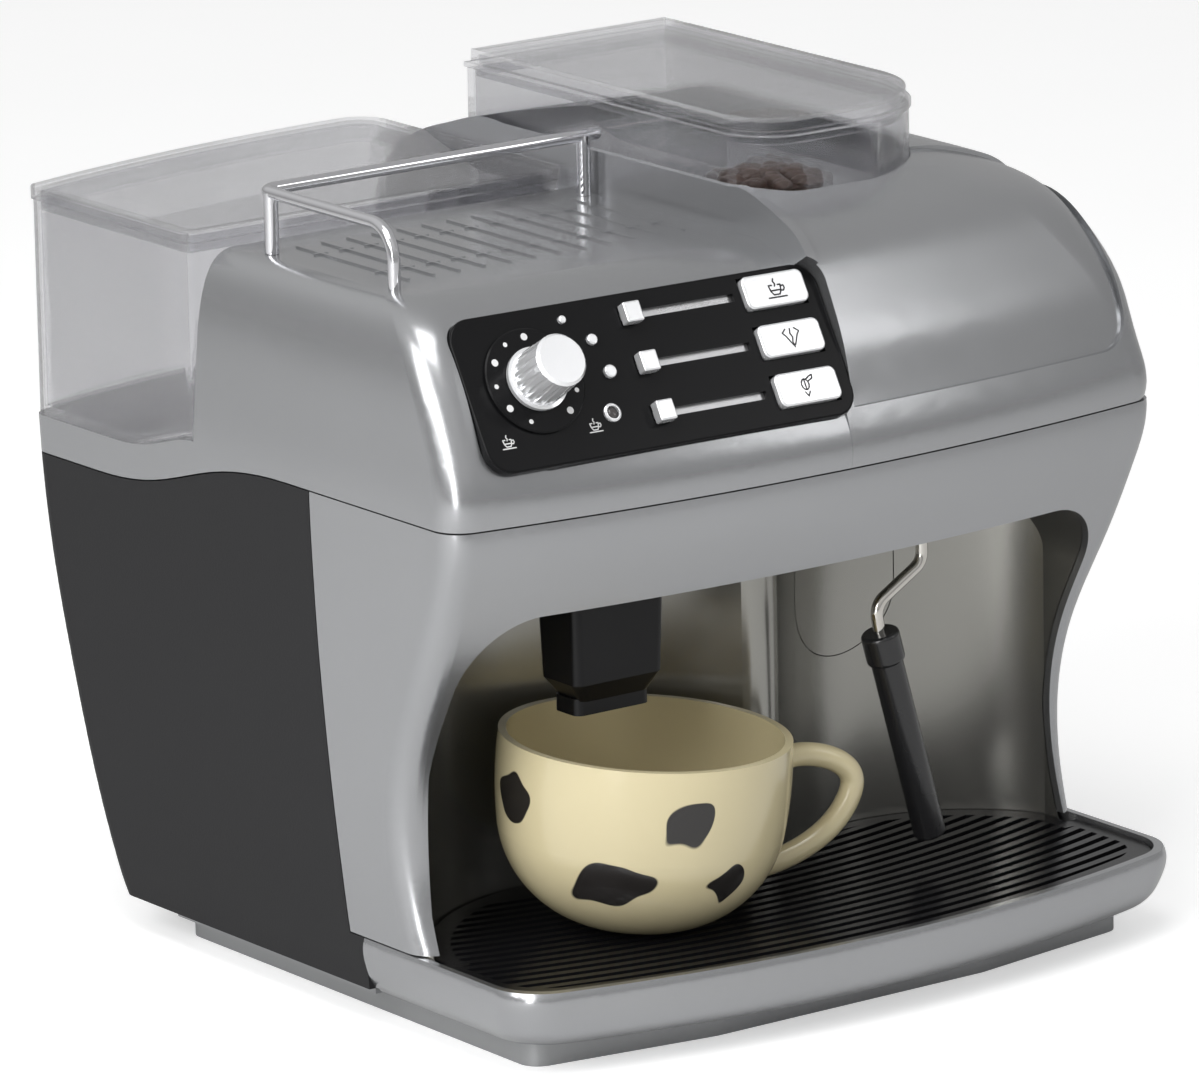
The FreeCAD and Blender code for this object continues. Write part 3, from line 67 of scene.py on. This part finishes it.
table, tree, surface = new_material("pale_table")
surface.inputs["Roughness"].default_value = 0.55
paper = add(tree, "ShaderNodeTexNoise", Scale=60.0, Detail=4.0)
paper_tone = add(tree, "ShaderNodeMix", {"data_type": "RGBA"})
paper_tone.inputs["A"].default_value = (0.80, 0.80, 0.80, 1)
paper_tone.inputs["B"].default_value = (0.84, 0.84, 0.84, 1)
join(tree, paper.outputs["Fac"], paper_tone.inputs["Factor"])
join(tree, paper_tone.outputs["Result"], surface.inputs["Base Color"])
seen = add(tree, "ShaderNodeLightPath")
rays = add(tree, "ShaderNodeMath", {"operation": "MAXIMUM"})
join(tree, seen.outputs["Is Camera Ray"], rays.inputs[0])
join(tree, seen.outputs["Is Transmission Ray"], rays.inputs[1])
lift = add(tree, "ShaderNodeMath", {"operation": "MULTIPLY"})
lift.inputs[1].default_value = TABLE_GLOW
join(tree, rays.outputs[0], lift.inputs[0])
surface.inputs["Emission Color"].default_value = (1, 1, 1, 1)
join(tree, lift.outputs[0], surface.inputs["Emission Strength"])
bpy.ops.mesh.primitive_plane_add(size=TABLE_SIZE, location=(0, 0, 0))
table_top = bpy.context.object
table_top.name = "table_top"
table_top.data.materials.append(table)

world = bpy.data.worlds.new("studio")
scene.world = world
world.use_nodes = True
tree = world.node_tree
background = tree.nodes["Background"]
seen = add(tree, "ShaderNodeLightPath")
seen_straight = add(tree, "ShaderNodeMath", {"operation": "MAXIMUM"})
any_seen = add(tree, "ShaderNodeMath", {"operation": "MAXIMUM"})
join(tree, seen.outputs["Is Camera Ray"], seen_straight.inputs[0])
join(tree, seen.outputs["Is Transmission Ray"], seen_straight.inputs[1])
join(tree, seen_straight.outputs[0], any_seen.inputs[0])
# Reflections show a dim room near the horizon and a brighter studio ceiling above it.
way = add(tree, "ShaderNodeTexCoord")
parts = add(tree, "ShaderNodeSeparateXYZ")
join(tree, way.outputs["Generated"], parts.inputs[0])
height = add(tree, "ShaderNodeMapRange", {"interpolation_type": "SMOOTHSTEP"},
             From_Min=0.02, From_Max=0.62, To_Min=0.0, To_Max=CEILING_SHARE)
join(tree, parts.outputs["Z"], height.inputs["Value"])
# The right of the room is darker than the left, as the dome and the fascia show.
aside = add(tree, "ShaderNodeMapRange", {"interpolation_type": "SMOOTHSTEP"},
            From_Min=-0.15, From_Max=0.60, To_Min=1.0, To_Max=0.25)
join(tree, parts.outputs["X"], aside.inputs["Value"])
room = add(tree, "ShaderNodeMath", {"operation": "MULTIPLY"})
join(tree, height.outputs["Result"], room.inputs[0])
join(tree, aside.outputs["Result"], room.inputs[1])
gloss_share = add(tree, "ShaderNodeMath", {"operation": "MULTIPLY"})
join(tree, room.outputs[0], gloss_share.inputs[1])
join(tree, seen.outputs["Is Glossy Ray"], gloss_share.inputs[0])
join(tree, gloss_share.outputs[0], any_seen.inputs[1])
strength = add(tree, "ShaderNodeMapRange", To_Min=ROOM_LIGHT, To_Max=1.0)
join(tree, any_seen.outputs[0], strength.inputs["Value"])
background.inputs["Color"].default_value = (1, 1, 1, 1)
join(tree, strength.outputs["Result"], background.inputs["Strength"])

# Each soft box: name, place and width and height in metres, power in watts.
SOFT_BOXES = [
    ("left_box", (-1.15, -0.25, 0.85), 0.7, 0.8, 9.0),
    ("top_box", (-0.35, -0.35, 1.35), 0.7, 0.7, 6.5),
    ("right_box", (1.0, -1.25, 0.95), 0.22, 0.7, 1.5),
    ("edge_strip", (-1.3, -0.85, 0.35), 0.22, 1.5, 9.0),
]
TOY_MIDDLE = Vector((0, 0, 0.12))
for name, place, width, height, power in SOFT_BOXES:
    lamp_data = bpy.data.lights.new(name, "AREA")
    lamp_data.shape = "RECTANGLE"
    lamp_data.size, lamp_data.size_y = width, height
    lamp_data.energy = power
    lamp = bpy.data.objects.new(name, lamp_data)
    scene.collection.objects.link(lamp)
    lamp.location = place
    aim = TOY_MIDDLE - Vector(place)
    lamp.rotation_euler = aim.to_track_quat("-Z", "Y").to_euler()

# The camera stands where the photographer's did: front left, a little above, with a long lens.
camera_data = bpy.data.cameras.new("studio_camera")
camera_data.lens = 290.99
camera_data.sensor_width = 36.0
camera_data.clip_end = 20.0
camera = bpy.data.objects.new("studio_camera", camera_data)
scene.collection.objects.link(camera)
camera.matrix_world = Matrix((
    (0.8051329, 0.1618089, -0.5705952, -1.50205),
    (-0.5928152, 0.1900355, -0.7825961, -2.04869),
    (-0.0181977, 0.9683514, 0.2489266, 0.76155),
    (0, 0, 0, 1)))
scene.camera = camera

# Base pan and battery door.
# A moulded slab carries everything; its door on the underside is held by one screw. Both take the
# body's silver darkened to a mid grey, as painted shade under the housing.
# Both have the fine spark texture of a moulding tool.


def finish(material, *names):
    """Give CAD pieces their material."""
    for name in names:
        slots = CAD[name].material_slots
        if not slots:
            CAD[name].data.materials.append(material)
        for slot in slots:
            slot.material = material


def new_group(name, sockets):
    """A shader group with named inputs (name, kind, default) and outputs (name, kind)."""
    group = bpy.data.node_groups.new(name, "ShaderNodeTree")
    for label, kind, default in sockets["in"]:
        made = group.interface.new_socket(label, in_out="INPUT", socket_type=kind)
        made.default_value = default
    for label, kind in sockets["out"]:
        group.interface.new_socket(label, in_out="OUTPUT", socket_type=kind)
    return group, group.nodes.new("NodeGroupInput"), group.nodes.new("NodeGroupOutput")


# Moulded grain: fine texture from the tool, with slow drifts in tone from flow and handling.
grain, taken, given = new_group("moulded_grain", {
    "in": [("Grain Scale", "NodeSocketFloat", 1500.0),
           ("Tone", "NodeSocketColor", (0.1, 0.1, 0.1, 1)),
           ("Tone Drift", "NodeSocketFloat", 0.15), ("Gloss", "NodeSocketFloat", 0.5),
           ("Gloss Drift", "NodeSocketFloat", 0.08)],
    "out": [("Colour", "NodeSocketColor"), ("Roughness", "NodeSocketFloat"),
            ("Height", "NodeSocketFloat")]})
spot = add(grain, "ShaderNodeTexCoord")
fine = add(grain, "ShaderNodeTexNoise", Detail=3.0, Roughness=0.6)
join(grain, spot.outputs["Object"], fine.inputs["Vector"])
join(grain, taken.outputs["Grain Scale"], fine.inputs["Scale"])
slow = add(grain, "ShaderNodeTexNoise", Scale=14.0, Detail=5.0, Roughness=0.55)
join(grain, spot.outputs["Object"], slow.inputs["Vector"])
centred = add(grain, "ShaderNodeMath", {"operation": "SUBTRACT"})
centred.inputs[1].default_value = 0.5
join(grain, slow.outputs["Fac"], centred.inputs[0])
swing = add(grain, "ShaderNodeMath", {"operation": "MULTIPLY_ADD"})
join(grain, centred.outputs[0], swing.inputs[0])
join(grain, taken.outputs["Tone Drift"], swing.inputs[1])
swing.inputs[2].default_value = 1.0
tinted = add(grain, "ShaderNodeVectorMath", {"operation": "SCALE"})
join(grain, taken.outputs["Tone"], tinted.inputs[0])
join(grain, swing.outputs[0], tinted.inputs["Scale"])
join(grain, tinted.outputs["Vector"], given.inputs["Colour"])
shine = add(grain, "ShaderNodeMath", {"operation": "MULTIPLY_ADD"})
join(grain, centred.outputs[0], shine.inputs[0])
join(grain, taken.outputs["Gloss Drift"], shine.inputs[1])
join(grain, taken.outputs["Gloss"], shine.inputs[2])
join(grain, shine.outputs[0], given.inputs["Roughness"])
join(grain, fine.outputs["Fac"], given.inputs["Height"])


def grained(tree, grain_scale, tone, drift, gloss, gloss_drift):
    """The grain group placed in a material, with that finish's own values."""
    return add(tree, "ShaderNodeGroup", {"node_tree": grain}, Grain_Scale=grain_scale,
               Tone=(*tone, 1), Tone_Drift=drift, Gloss=gloss, Gloss_Drift=gloss_drift)


def roughen(tree, texture, surface, bump, depth):
    """Join the grain's roughness and its relief to the surface."""
    relief = add(tree, "ShaderNodeBump", Strength=bump, Distance=depth)
    join(tree, texture.outputs["Height"], relief.inputs["Height"])
    join(tree, texture.outputs["Roughness"], surface.inputs["Roughness"])
    join(tree, relief.outputs["Normal"], surface.inputs["Normal"])


def moulded(name, tone, gloss, grain_scale=1500.0, bump=0.12, drift=0.25, gloss_drift=0.15,
            metal=0.0, coat=0.0, coat_gloss=0.05, specular=0.5):
    """A moulded plastic finish from the grain group."""
    material, tree, surface = new_material(name)
    texture = grained(tree, grain_scale, tone, drift, gloss, gloss_drift)
    join(tree, texture.outputs["Colour"], surface.inputs["Base Color"])
    roughen(tree, texture, surface, bump, 0.0002)
    surface.inputs["Metallic"].default_value = metal
    surface.inputs["Coat Weight"].default_value = coat
    surface.inputs["Coat Roughness"].default_value = coat_gloss
    surface.inputs["Specular IOR Level"].default_value = specular
    return material


# Mid grey tone: the body's silver darkened as painted shade under the housing.
finish(moulded("base_silver_painted_shade", (0.34, 0.345, 0.35), 0.42, metal=0.55),
       "base_pan", "battery_door")
finish(moulded("zinc_screw", (0.42, 0.42, 0.43), 0.32, 900.0, 0.2, metal=1.0), "door_screw")

# Battery cells and contacts.
# Three slim cells lie side by side behind the door, between plated spring plates.
# The cells have printed cans and bare steel ends.

finish(moulded("printed_can", (0.30, 0.22, 0.06), 0.25, 500.0, 0.05, metal=0.6),
       "battery_cell_1", "battery_cell_2", "battery_cell_3")
finish(moulded("spring_steel", (0.55, 0.55, 0.56), 0.25, 700.0, 0.1, metal=1.0),
       "contact_plate_left", "contact_plate_right")

# Speaker, circuit board and switches.
# These sit out of sight behind the panel and over the base, screwed to moulded bosses.

finish(moulded("speaker_can", (0.05, 0.05, 0.055), 0.6, 600.0), "speaker")
finish(moulded("green_board", (0.03, 0.15, 0.06), 0.35, 300.0), "circuit_board")
finish(moulded("switch_plastic", (0.02, 0.02, 0.02), 0.4), "rotary_switch", "tact_switch_cup",
       "tact_switch_steam", "tact_switch_scoop")

# Rear shell.
# The back and both sides are one black shell with a fine matt grain, clipped over the base.

finish(moulded("black_grained_shell", (0.016, 0.016, 0.017), 0.50, 1700.0, 0.22, 0.3,
               specular=0.2), "rear_shell")

# Front housing, hood and tray.
# They are moulded in grey plastic and sprayed with a silver paint full of fine flake.
# The lacquer is satin, a little glossier where hands polish it.


def silver_paint(name, tone, gloss):
    material, tree, surface = new_material(name)
    spot = add(tree, "ShaderNodeTexCoord")
    flake = add(tree, "ShaderNodeTexVoronoi", {"feature": "F1"}, Scale=4200.0)
    join(tree, spot.outputs["Object"], flake.inputs["Vector"])
    glint = add(tree, "ShaderNodeMapRange", To_Min=0.96, To_Max=1.04)
    join(tree, flake.outputs["Color"], glint.inputs["Value"])
    texture = grained(tree, 2600.0, tone, 0.10, gloss, 0.05)
    sparkle = add(tree, "ShaderNodeVectorMath", {"operation": "SCALE"})
    join(tree, texture.outputs["Colour"], sparkle.inputs[0])
    join(tree, glint.outputs["Result"], sparkle.inputs["Scale"])
    join(tree, sparkle.outputs["Vector"], surface.inputs["Base Color"])
    roughen(tree, texture, surface, 0.06, 0.0001)
    surface.inputs["Metallic"].default_value = 0.85
    surface.inputs["Coat Weight"].default_value = 0.25
    surface.inputs["Coat Roughness"].default_value = 0.12
    return material


finish(silver_paint("silver_flake_paint", (0.385, 0.39, 0.40), 0.25),
       "front_housing", "hood", "tray_body")

# Bay liner and service cover.
# The wall behind the cup gets a darker, warmer silver than the body: painted shade in the bay and a
# painted reflection of the cream cup. Its small cover sits flush in it.

# Darker, warmer tone: painted shade in the bay and a painted reflection of the cup.
finish(silver_paint("liner_painted_shade_and_reflection", (0.33, 0.325, 0.30), 0.25), "bay_liner", "service_cover")

# Drip grille.
# One glossy black moulding with curved slots lies loose in the tray.

finish(moulded("grille_black", (0.008, 0.008, 0.009), 0.24, 900.0, 0.05, coat=0.1,
               specular=0.25), "drip_grille")

# Control panel.
# A glossy black plate with blind grooves for the sliders, and small white prints.
# The prints are a cup sign at the dial and one at the lamp.

finish(moulded("panel_gloss_black", (0.006, 0.006, 0.0065), 0.20, 500.0, 0.02, 0.2, 0.06,
               specular=0.12), "control_panel", "dial_disc")

# Heights of the faces that carry prints, in millimetres over the panel's own plane.
PANEL_FACE, DISC_FACE, BUTTON_FACE = 0.03, 1.03, 1.83
SIGN_LINE = 0.32
ROUND_END = 10
PANEL_PLACE = (Matrix.Translation((-0.048, -0.080, 0.178))
               @ Matrix.Rotation(math.radians(-2.5), 4, "Z")
               @ Matrix.Rotation(math.radians(58.0), 4, "X"))


def flat_piece(name, corners, faces, height, material, body):
    """A thin print on the panel, from corners in the panel's own millimetres."""
    mesh = bpy.data.meshes.new(name)
    mesh.from_pydata([(u / 1000, v / 1000, height / 1000) for u, v in corners], [], faces)
    mesh.transform(PANEL_PLACE)
    mesh.materials.append(material)
    piece = bpy.data.objects.new(name, mesh)
    scene.collection.objects.link(piece)
    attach(piece, body)
    return piece


def circle(middle_u, middle_v, radius, count):
    """Points round a circle on the panel."""
    turns = [2 * math.pi * k / count for k in range(count)]
    return [(middle_u + radius * math.cos(turn), middle_v + radius * math.sin(turn))
            for turn in turns]


def strokes(name, lines, width, height, material, body):
    """Printed lines: each run is a strip, with a round dot at every point."""
    corners, faces = [], []
    for line in lines:
        for (u0, v0), (u1, v1) in zip(line, line[1:]):
            length = math.hypot(u1 - u0, v1 - v0)
            side_u, side_v = -(v1 - v0) / length * width / 2, (u1 - u0) / length * width / 2
            first = len(corners)
            corners += [(u0 + side_u, v0 + side_v), (u0 - side_u, v0 - side_v),
                        (u1 - side_u, v1 - side_v), (u1 + side_u, v1 + side_v)]
            faces.append((first, first + 1, first + 2, first + 3))
        for u, v in line:
            first = len(corners)
            corners += circle(u, v, width / 2, ROUND_END)
            faces.append(tuple(range(first, first + ROUND_END)))
    return flat_piece(name, corners, faces, height, material, body)


def cup_sign(u, v, size):
    """A steaming cup on a saucer, as lines."""
    bowl = [(-0.42, 0.28), (-0.36, -0.08), (-0.22, -0.30),
            (0.18, -0.30), (0.32, -0.08), (0.38, 0.28)]
    handle = [(0.36, 0.18), (0.56, 0.20), (0.60, 0.04), (0.50, -0.10), (0.33, -0.08)]
    saucer = [(-0.62, -0.46), (0.62, -0.46)]
    steam = [(-0.02, 0.22), (0.04, 0.36), (-0.05, 0.50), (0.02, 0.66)]
    brim = [(-0.42, 0.28), (-0.2, 0.28)]
    other_brim = [(0.2, 0.28), (0.38, 0.28)]
    coffee = [(-0.28, -0.04), (0.24, -0.04)]
    return [[(u + size * x, v + size * y) for x, y in line]
            for line in (bowl, handle, saucer, steam, brim, other_brim, coffee)]


print_white = moulded("white_print", (0.70, 0.70, 0.70), 0.45, 900.0, 0.05)
strokes("print_cup_dial", cup_sign(-50.4, -13.3, 3.2), SIGN_LINE, PANEL_FACE, print_white,
        "machine")
strokes("print_cup_lamp", cup_sign(-23.4, -12.9, 3.2), SIGN_LINE, PANEL_FACE, print_white,
        "machine")

# The scale round the dial: large and small dots take turns.
DIAL_U, DIAL_V, SCALE_RADIUS = -36.9, 1.8, 12.0
LARGE_DOT, SMALL_DOT, DOT_POINTS = 1.0, 0.65, 24
dot_corners, dot_faces = [], []
for number, turn in enumerate((86, 117, 148, 180, 212, 244, 307, 338)):
    middle_u = DIAL_U + SCALE_RADIUS * math.cos(math.radians(turn))
    middle_v = DIAL_V + SCALE_RADIUS * math.sin(math.radians(turn))
    first = len(dot_corners)
    dot_corners += circle(middle_u, middle_v, SMALL_DOT if number % 2 else LARGE_DOT, DOT_POINTS)
    dot_faces.append(tuple(range(first, first + DOT_POINTS)))
flat_piece("print_dial_dots", dot_corners, dot_faces, DISC_FACE, print_white, "machine")

# Dial knob, sliders, buttons, studs and lamp ring.
# All are plastic with bright satin plating; the knob has fine flutes.
# Each button's sign is printed on it and moves with it.

finish(moulded("bright_plating", (0.90, 0.905, 0.92), 0.20, 1200.0, 0.06, 0.12, 0.12,
               metal=0.65), "selector_knob", "slider_1", "slider_2", "slider_3", "button_cup",
       "button_steam", "button_scoop", "dial_studs", "lamp_bezel")
finish(moulded("strip_plating", (0.60, 0.60, 0.61), 0.28, 900.0, 0.15, 0.3, metal=0.9),
       "slot_strip_1", "slot_strip_2", "slot_strip_3")
finish(moulded("lamp_window", (0.05, 0.045, 0.045), 0.12, 500.0, 0.02, coat=0.8), "lamp_lens")

print_black = moulded("black_print", (0.02, 0.02, 0.02), 0.5, 900.0, 0.05)
BUTTON_U, CUP_ROW, STEAM_ROW, SCOOP_ROW = 43.0, 15.0, 1.2, -12.6
CUP_LINE, PLAIN_LINE = 0.45, 0.42
strokes("sign_cup", cup_sign(BUTTON_U, CUP_ROW - 0.3, 4.6), CUP_LINE, BUTTON_FACE, print_black,
        "button_cup_body")


def on_button(row, points):
    """Points given from a button's middle, moved to its place on the panel."""
    return [(BUTTON_U + u, row + v) for u, v in points]


steam_lines = [on_button(STEAM_ROW, [(side * (0.3 + 0.5 * k), -2.2 + 0.9 * k) for k in range(4)]
                         + [(side * 2.6, 1.4), (side * 1.4, 2.4)])
               for side in (-1, 1)]
steam_lines.append(on_button(STEAM_ROW, [(0, -2.8), (-0.2, -1.2), (0.2, 0), (-0.3, 1.0), (0, 2.4)]))
strokes("sign_steam", steam_lines, PLAIN_LINE, BUTTON_FACE, print_black, "button_steam_body")

scoop_head = [(-0.9 + 1.15 * math.cos(k * math.pi / 6), 0.5 + 1.5 * math.sin(k * math.pi / 6))
              for k in range(13)]
scoop_slot = [(-0.9, -1.0), (-0.9, 1.8)]
scoop_handle = [(-0.4, 1.8), (1.0, 2.6), (1.9, 2.9), (1.7, 1.9), (0.2, 1.2)]
scoop_tip = [(-1.6, -1.6), (-0.9, -2.8), (-0.1, -1.6)]
scoop_lines = [on_button(SCOOP_ROW, points)
               for points in (scoop_head, scoop_slot, scoop_handle, scoop_tip)]
strokes("sign_scoop", scoop_lines, PLAIN_LINE, BUTTON_FACE, print_black, "button_scoop_body")

# Rail.
# A bent chromed wire fence on two posts and a foot keeps cups on the warming shelf.

finish(moulded("rail_chrome", (0.66, 0.66, 0.68), 0.05, 300.0, 0.02, 0.05, 0.06, metal=1.0),
       "rail")

# Water tank, hopper and their lids.
# They are injection moulded in clear smoky plastic, with walls under 2 mm.


def clear_plastic(name, tone, gloss):
    material, tree, surface = new_material(name)
    texture = grained(tree, 60.0, tone, 0.06, gloss, 0.05)
    join(tree, texture.outputs["Colour"], surface.inputs["Base Color"])
    roughen(tree, texture, surface, 0.05, 0.0004)
    surface.inputs["Transmission Weight"].default_value = 1.0
    surface.inputs["Alpha"].default_value = 0.62
    surface.inputs["IOR"].default_value = 1.25
    return material


finish(clear_plastic("clear_tank_plastic", (0.58, 0.58, 0.60), 0.04), "water_tank", "tank_lid")
finish(clear_plastic("clear_hopper_plastic", (0.64, 0.64, 0.66), 0.03),
       "bean_hopper", "hopper_lid")

# Beans.
# A small glossy brown moulding looks like a heap of roasted beans.

finish(moulded("roasted_bean", (0.055, 0.028, 0.018), 0.32, 260.0, 0.4, 0.9), "bean_heap")

# Spout and outlet nub.
# Both are satin black mouldings that hang from the roof of the bay.

finish(moulded("spout_black", (0.004, 0.004, 0.0045), 0.30, 700.0, 0.03, coat=0.1,
               specular=0.2), "spout", "outlet_nub")

# Steam wand.
# A bent nickel tube with a satin black grip.

finish(moulded("nickel_tube", (0.62, 0.60, 0.56), 0.12, 300.0, 0.03, 0.1, metal=1.0),
       "steam_pipe")
finish(moulded("grip_black", (0.016, 0.016, 0.017), 0.26, 1200.0, 0.06, coat=0.2),
       "wand_sleeve")

# Cup.
# A glossy cream cup with dark cow patches printed on its outside only.

CREAM = (0.62, 0.545, 0.34)
PATCH_DARK = (0.018, 0.016, 0.015, 1)
CUP_MIDDLE = (-0.0412, -0.0610, 0.050)
PATCH_PUSH = 0.010

cup_finish, tree, surface = new_material("cream_cup")
spot = add(tree, "ShaderNodeTexCoord")
ragged = add(tree, "ShaderNodeTexNoise", Scale=95.0, Detail=0.0)
join(tree, spot.outputs["Object"], ragged.inputs["Vector"])
pushed = add(tree, "ShaderNodeVectorMath", {"operation": "MULTIPLY_ADD"})
join(tree, ragged.outputs["Color"], pushed.inputs[0])
pushed.inputs[1].default_value = (PATCH_PUSH,) * 3
shifted = add(tree, "ShaderNodeVectorMath", {"operation": "SUBTRACT"})
join(tree, spot.outputs["Object"], shifted.inputs[0])
shifted.inputs[1].default_value = (PATCH_PUSH / 2,) * 3
join(tree, shifted.outputs["Vector"], pushed.inputs[2])
# Each patch: its middle and its half sizes, in millimetres.
PATCHES = [
    ((-79.6, -57.9, 62.0), (8.0, 8.5, 6.6)), ((-53.7, -98.5, 58.7), (6.2, 6.0, 6.6)),
    ((-68.7, -84.9, 42.4), (12.0, 11.0, 6.0)), ((-38.8, -97.4, 41.2), (5.6, 6.0, 5.6)),
    ((-24.0, -27.0, 56.0), (8.0, 7.0, 6.5)), ((-60.0, -26.0, 46.0), (9.5, 7.0, 6.0)),
    ((-8.0, -45.0, 44.0), (6.0, 8.0, 7.0)),
]
last = None
for place, spread in PATCHES:
    away = add(tree, "ShaderNodeVectorMath", {"operation": "SUBTRACT"})
    join(tree, pushed.outputs["Vector"], away.inputs[0])
    away.inputs[1].default_value = tuple(value / 1000 for value in place)
    sized = add(tree, "ShaderNodeVectorMath", {"operation": "MULTIPLY"})
    join(tree, away.outputs["Vector"], sized.inputs[0])
    sized.inputs[1].default_value = tuple(1000 / value for value in spread)
    far = add(tree, "ShaderNodeVectorMath", {"operation": "LENGTH"})
    join(tree, sized.outputs["Vector"], far.inputs[0])
    if last is None:
        last = far.outputs["Value"]
    else:
        nearer = add(tree, "ShaderNodeMath", {"operation": "MINIMUM"})
        join(tree, last, nearer.inputs[0])
        join(tree, far.outputs["Value"], nearer.inputs[1])
        last = nearer.outputs[0]
inside_patch = add(tree, "ShaderNodeMapRange", {"clamp": True}, From_Min=1.03, From_Max=0.97)
join(tree, last, inside_patch.inputs["Value"])
# The patches stay on the outer side, where the face looks away from the cup's middle.
facing = add(tree, "ShaderNodeNewGeometry")
outward = add(tree, "ShaderNodeVectorMath", {"operation": "SUBTRACT"})
join(tree, spot.outputs["Object"], outward.inputs[0])
outward.inputs[1].default_value = CUP_MIDDLE
level = add(tree, "ShaderNodeVectorMath", {"operation": "MULTIPLY"})
join(tree, outward.outputs["Vector"], level.inputs[0])
level.inputs[1].default_value = (1, 1, 0)
along = add(tree, "ShaderNodeVectorMath", {"operation": "DOT_PRODUCT"})
join(tree, level.outputs["Vector"], along.inputs[0])
join(tree, facing.outputs["True Normal"], along.inputs[1])
outer_side = add(tree, "ShaderNodeMath", {"operation": "GREATER_THAN"})
outer_side.inputs[1].default_value = 0.0
join(tree, along.outputs["Value"], outer_side.inputs[0])
patch_mask = add(tree, "ShaderNodeMath", {"operation": "MULTIPLY"})
join(tree, inside_patch.outputs["Result"], patch_mask.inputs[0])
join(tree, outer_side.outputs[0], patch_mask.inputs[1])
texture = grained(tree, 400.0, CREAM, 0.10, 0.20, 0.08)
coloured = add(tree, "ShaderNodeMix", {"data_type": "RGBA"})
join(tree, patch_mask.outputs[0], coloured.inputs["Factor"])
join(tree, texture.outputs["Colour"], coloured.inputs["A"])
coloured.inputs["B"].default_value = PATCH_DARK
join(tree, coloured.outputs["Result"], surface.inputs["Base Color"])
roughen(tree, texture, surface, 0.03, 0.0002)
surface.inputs["Coat Weight"].default_value = 0.3
surface.inputs["Coat Roughness"].default_value = 0.08
finish(cup_finish, "cup")
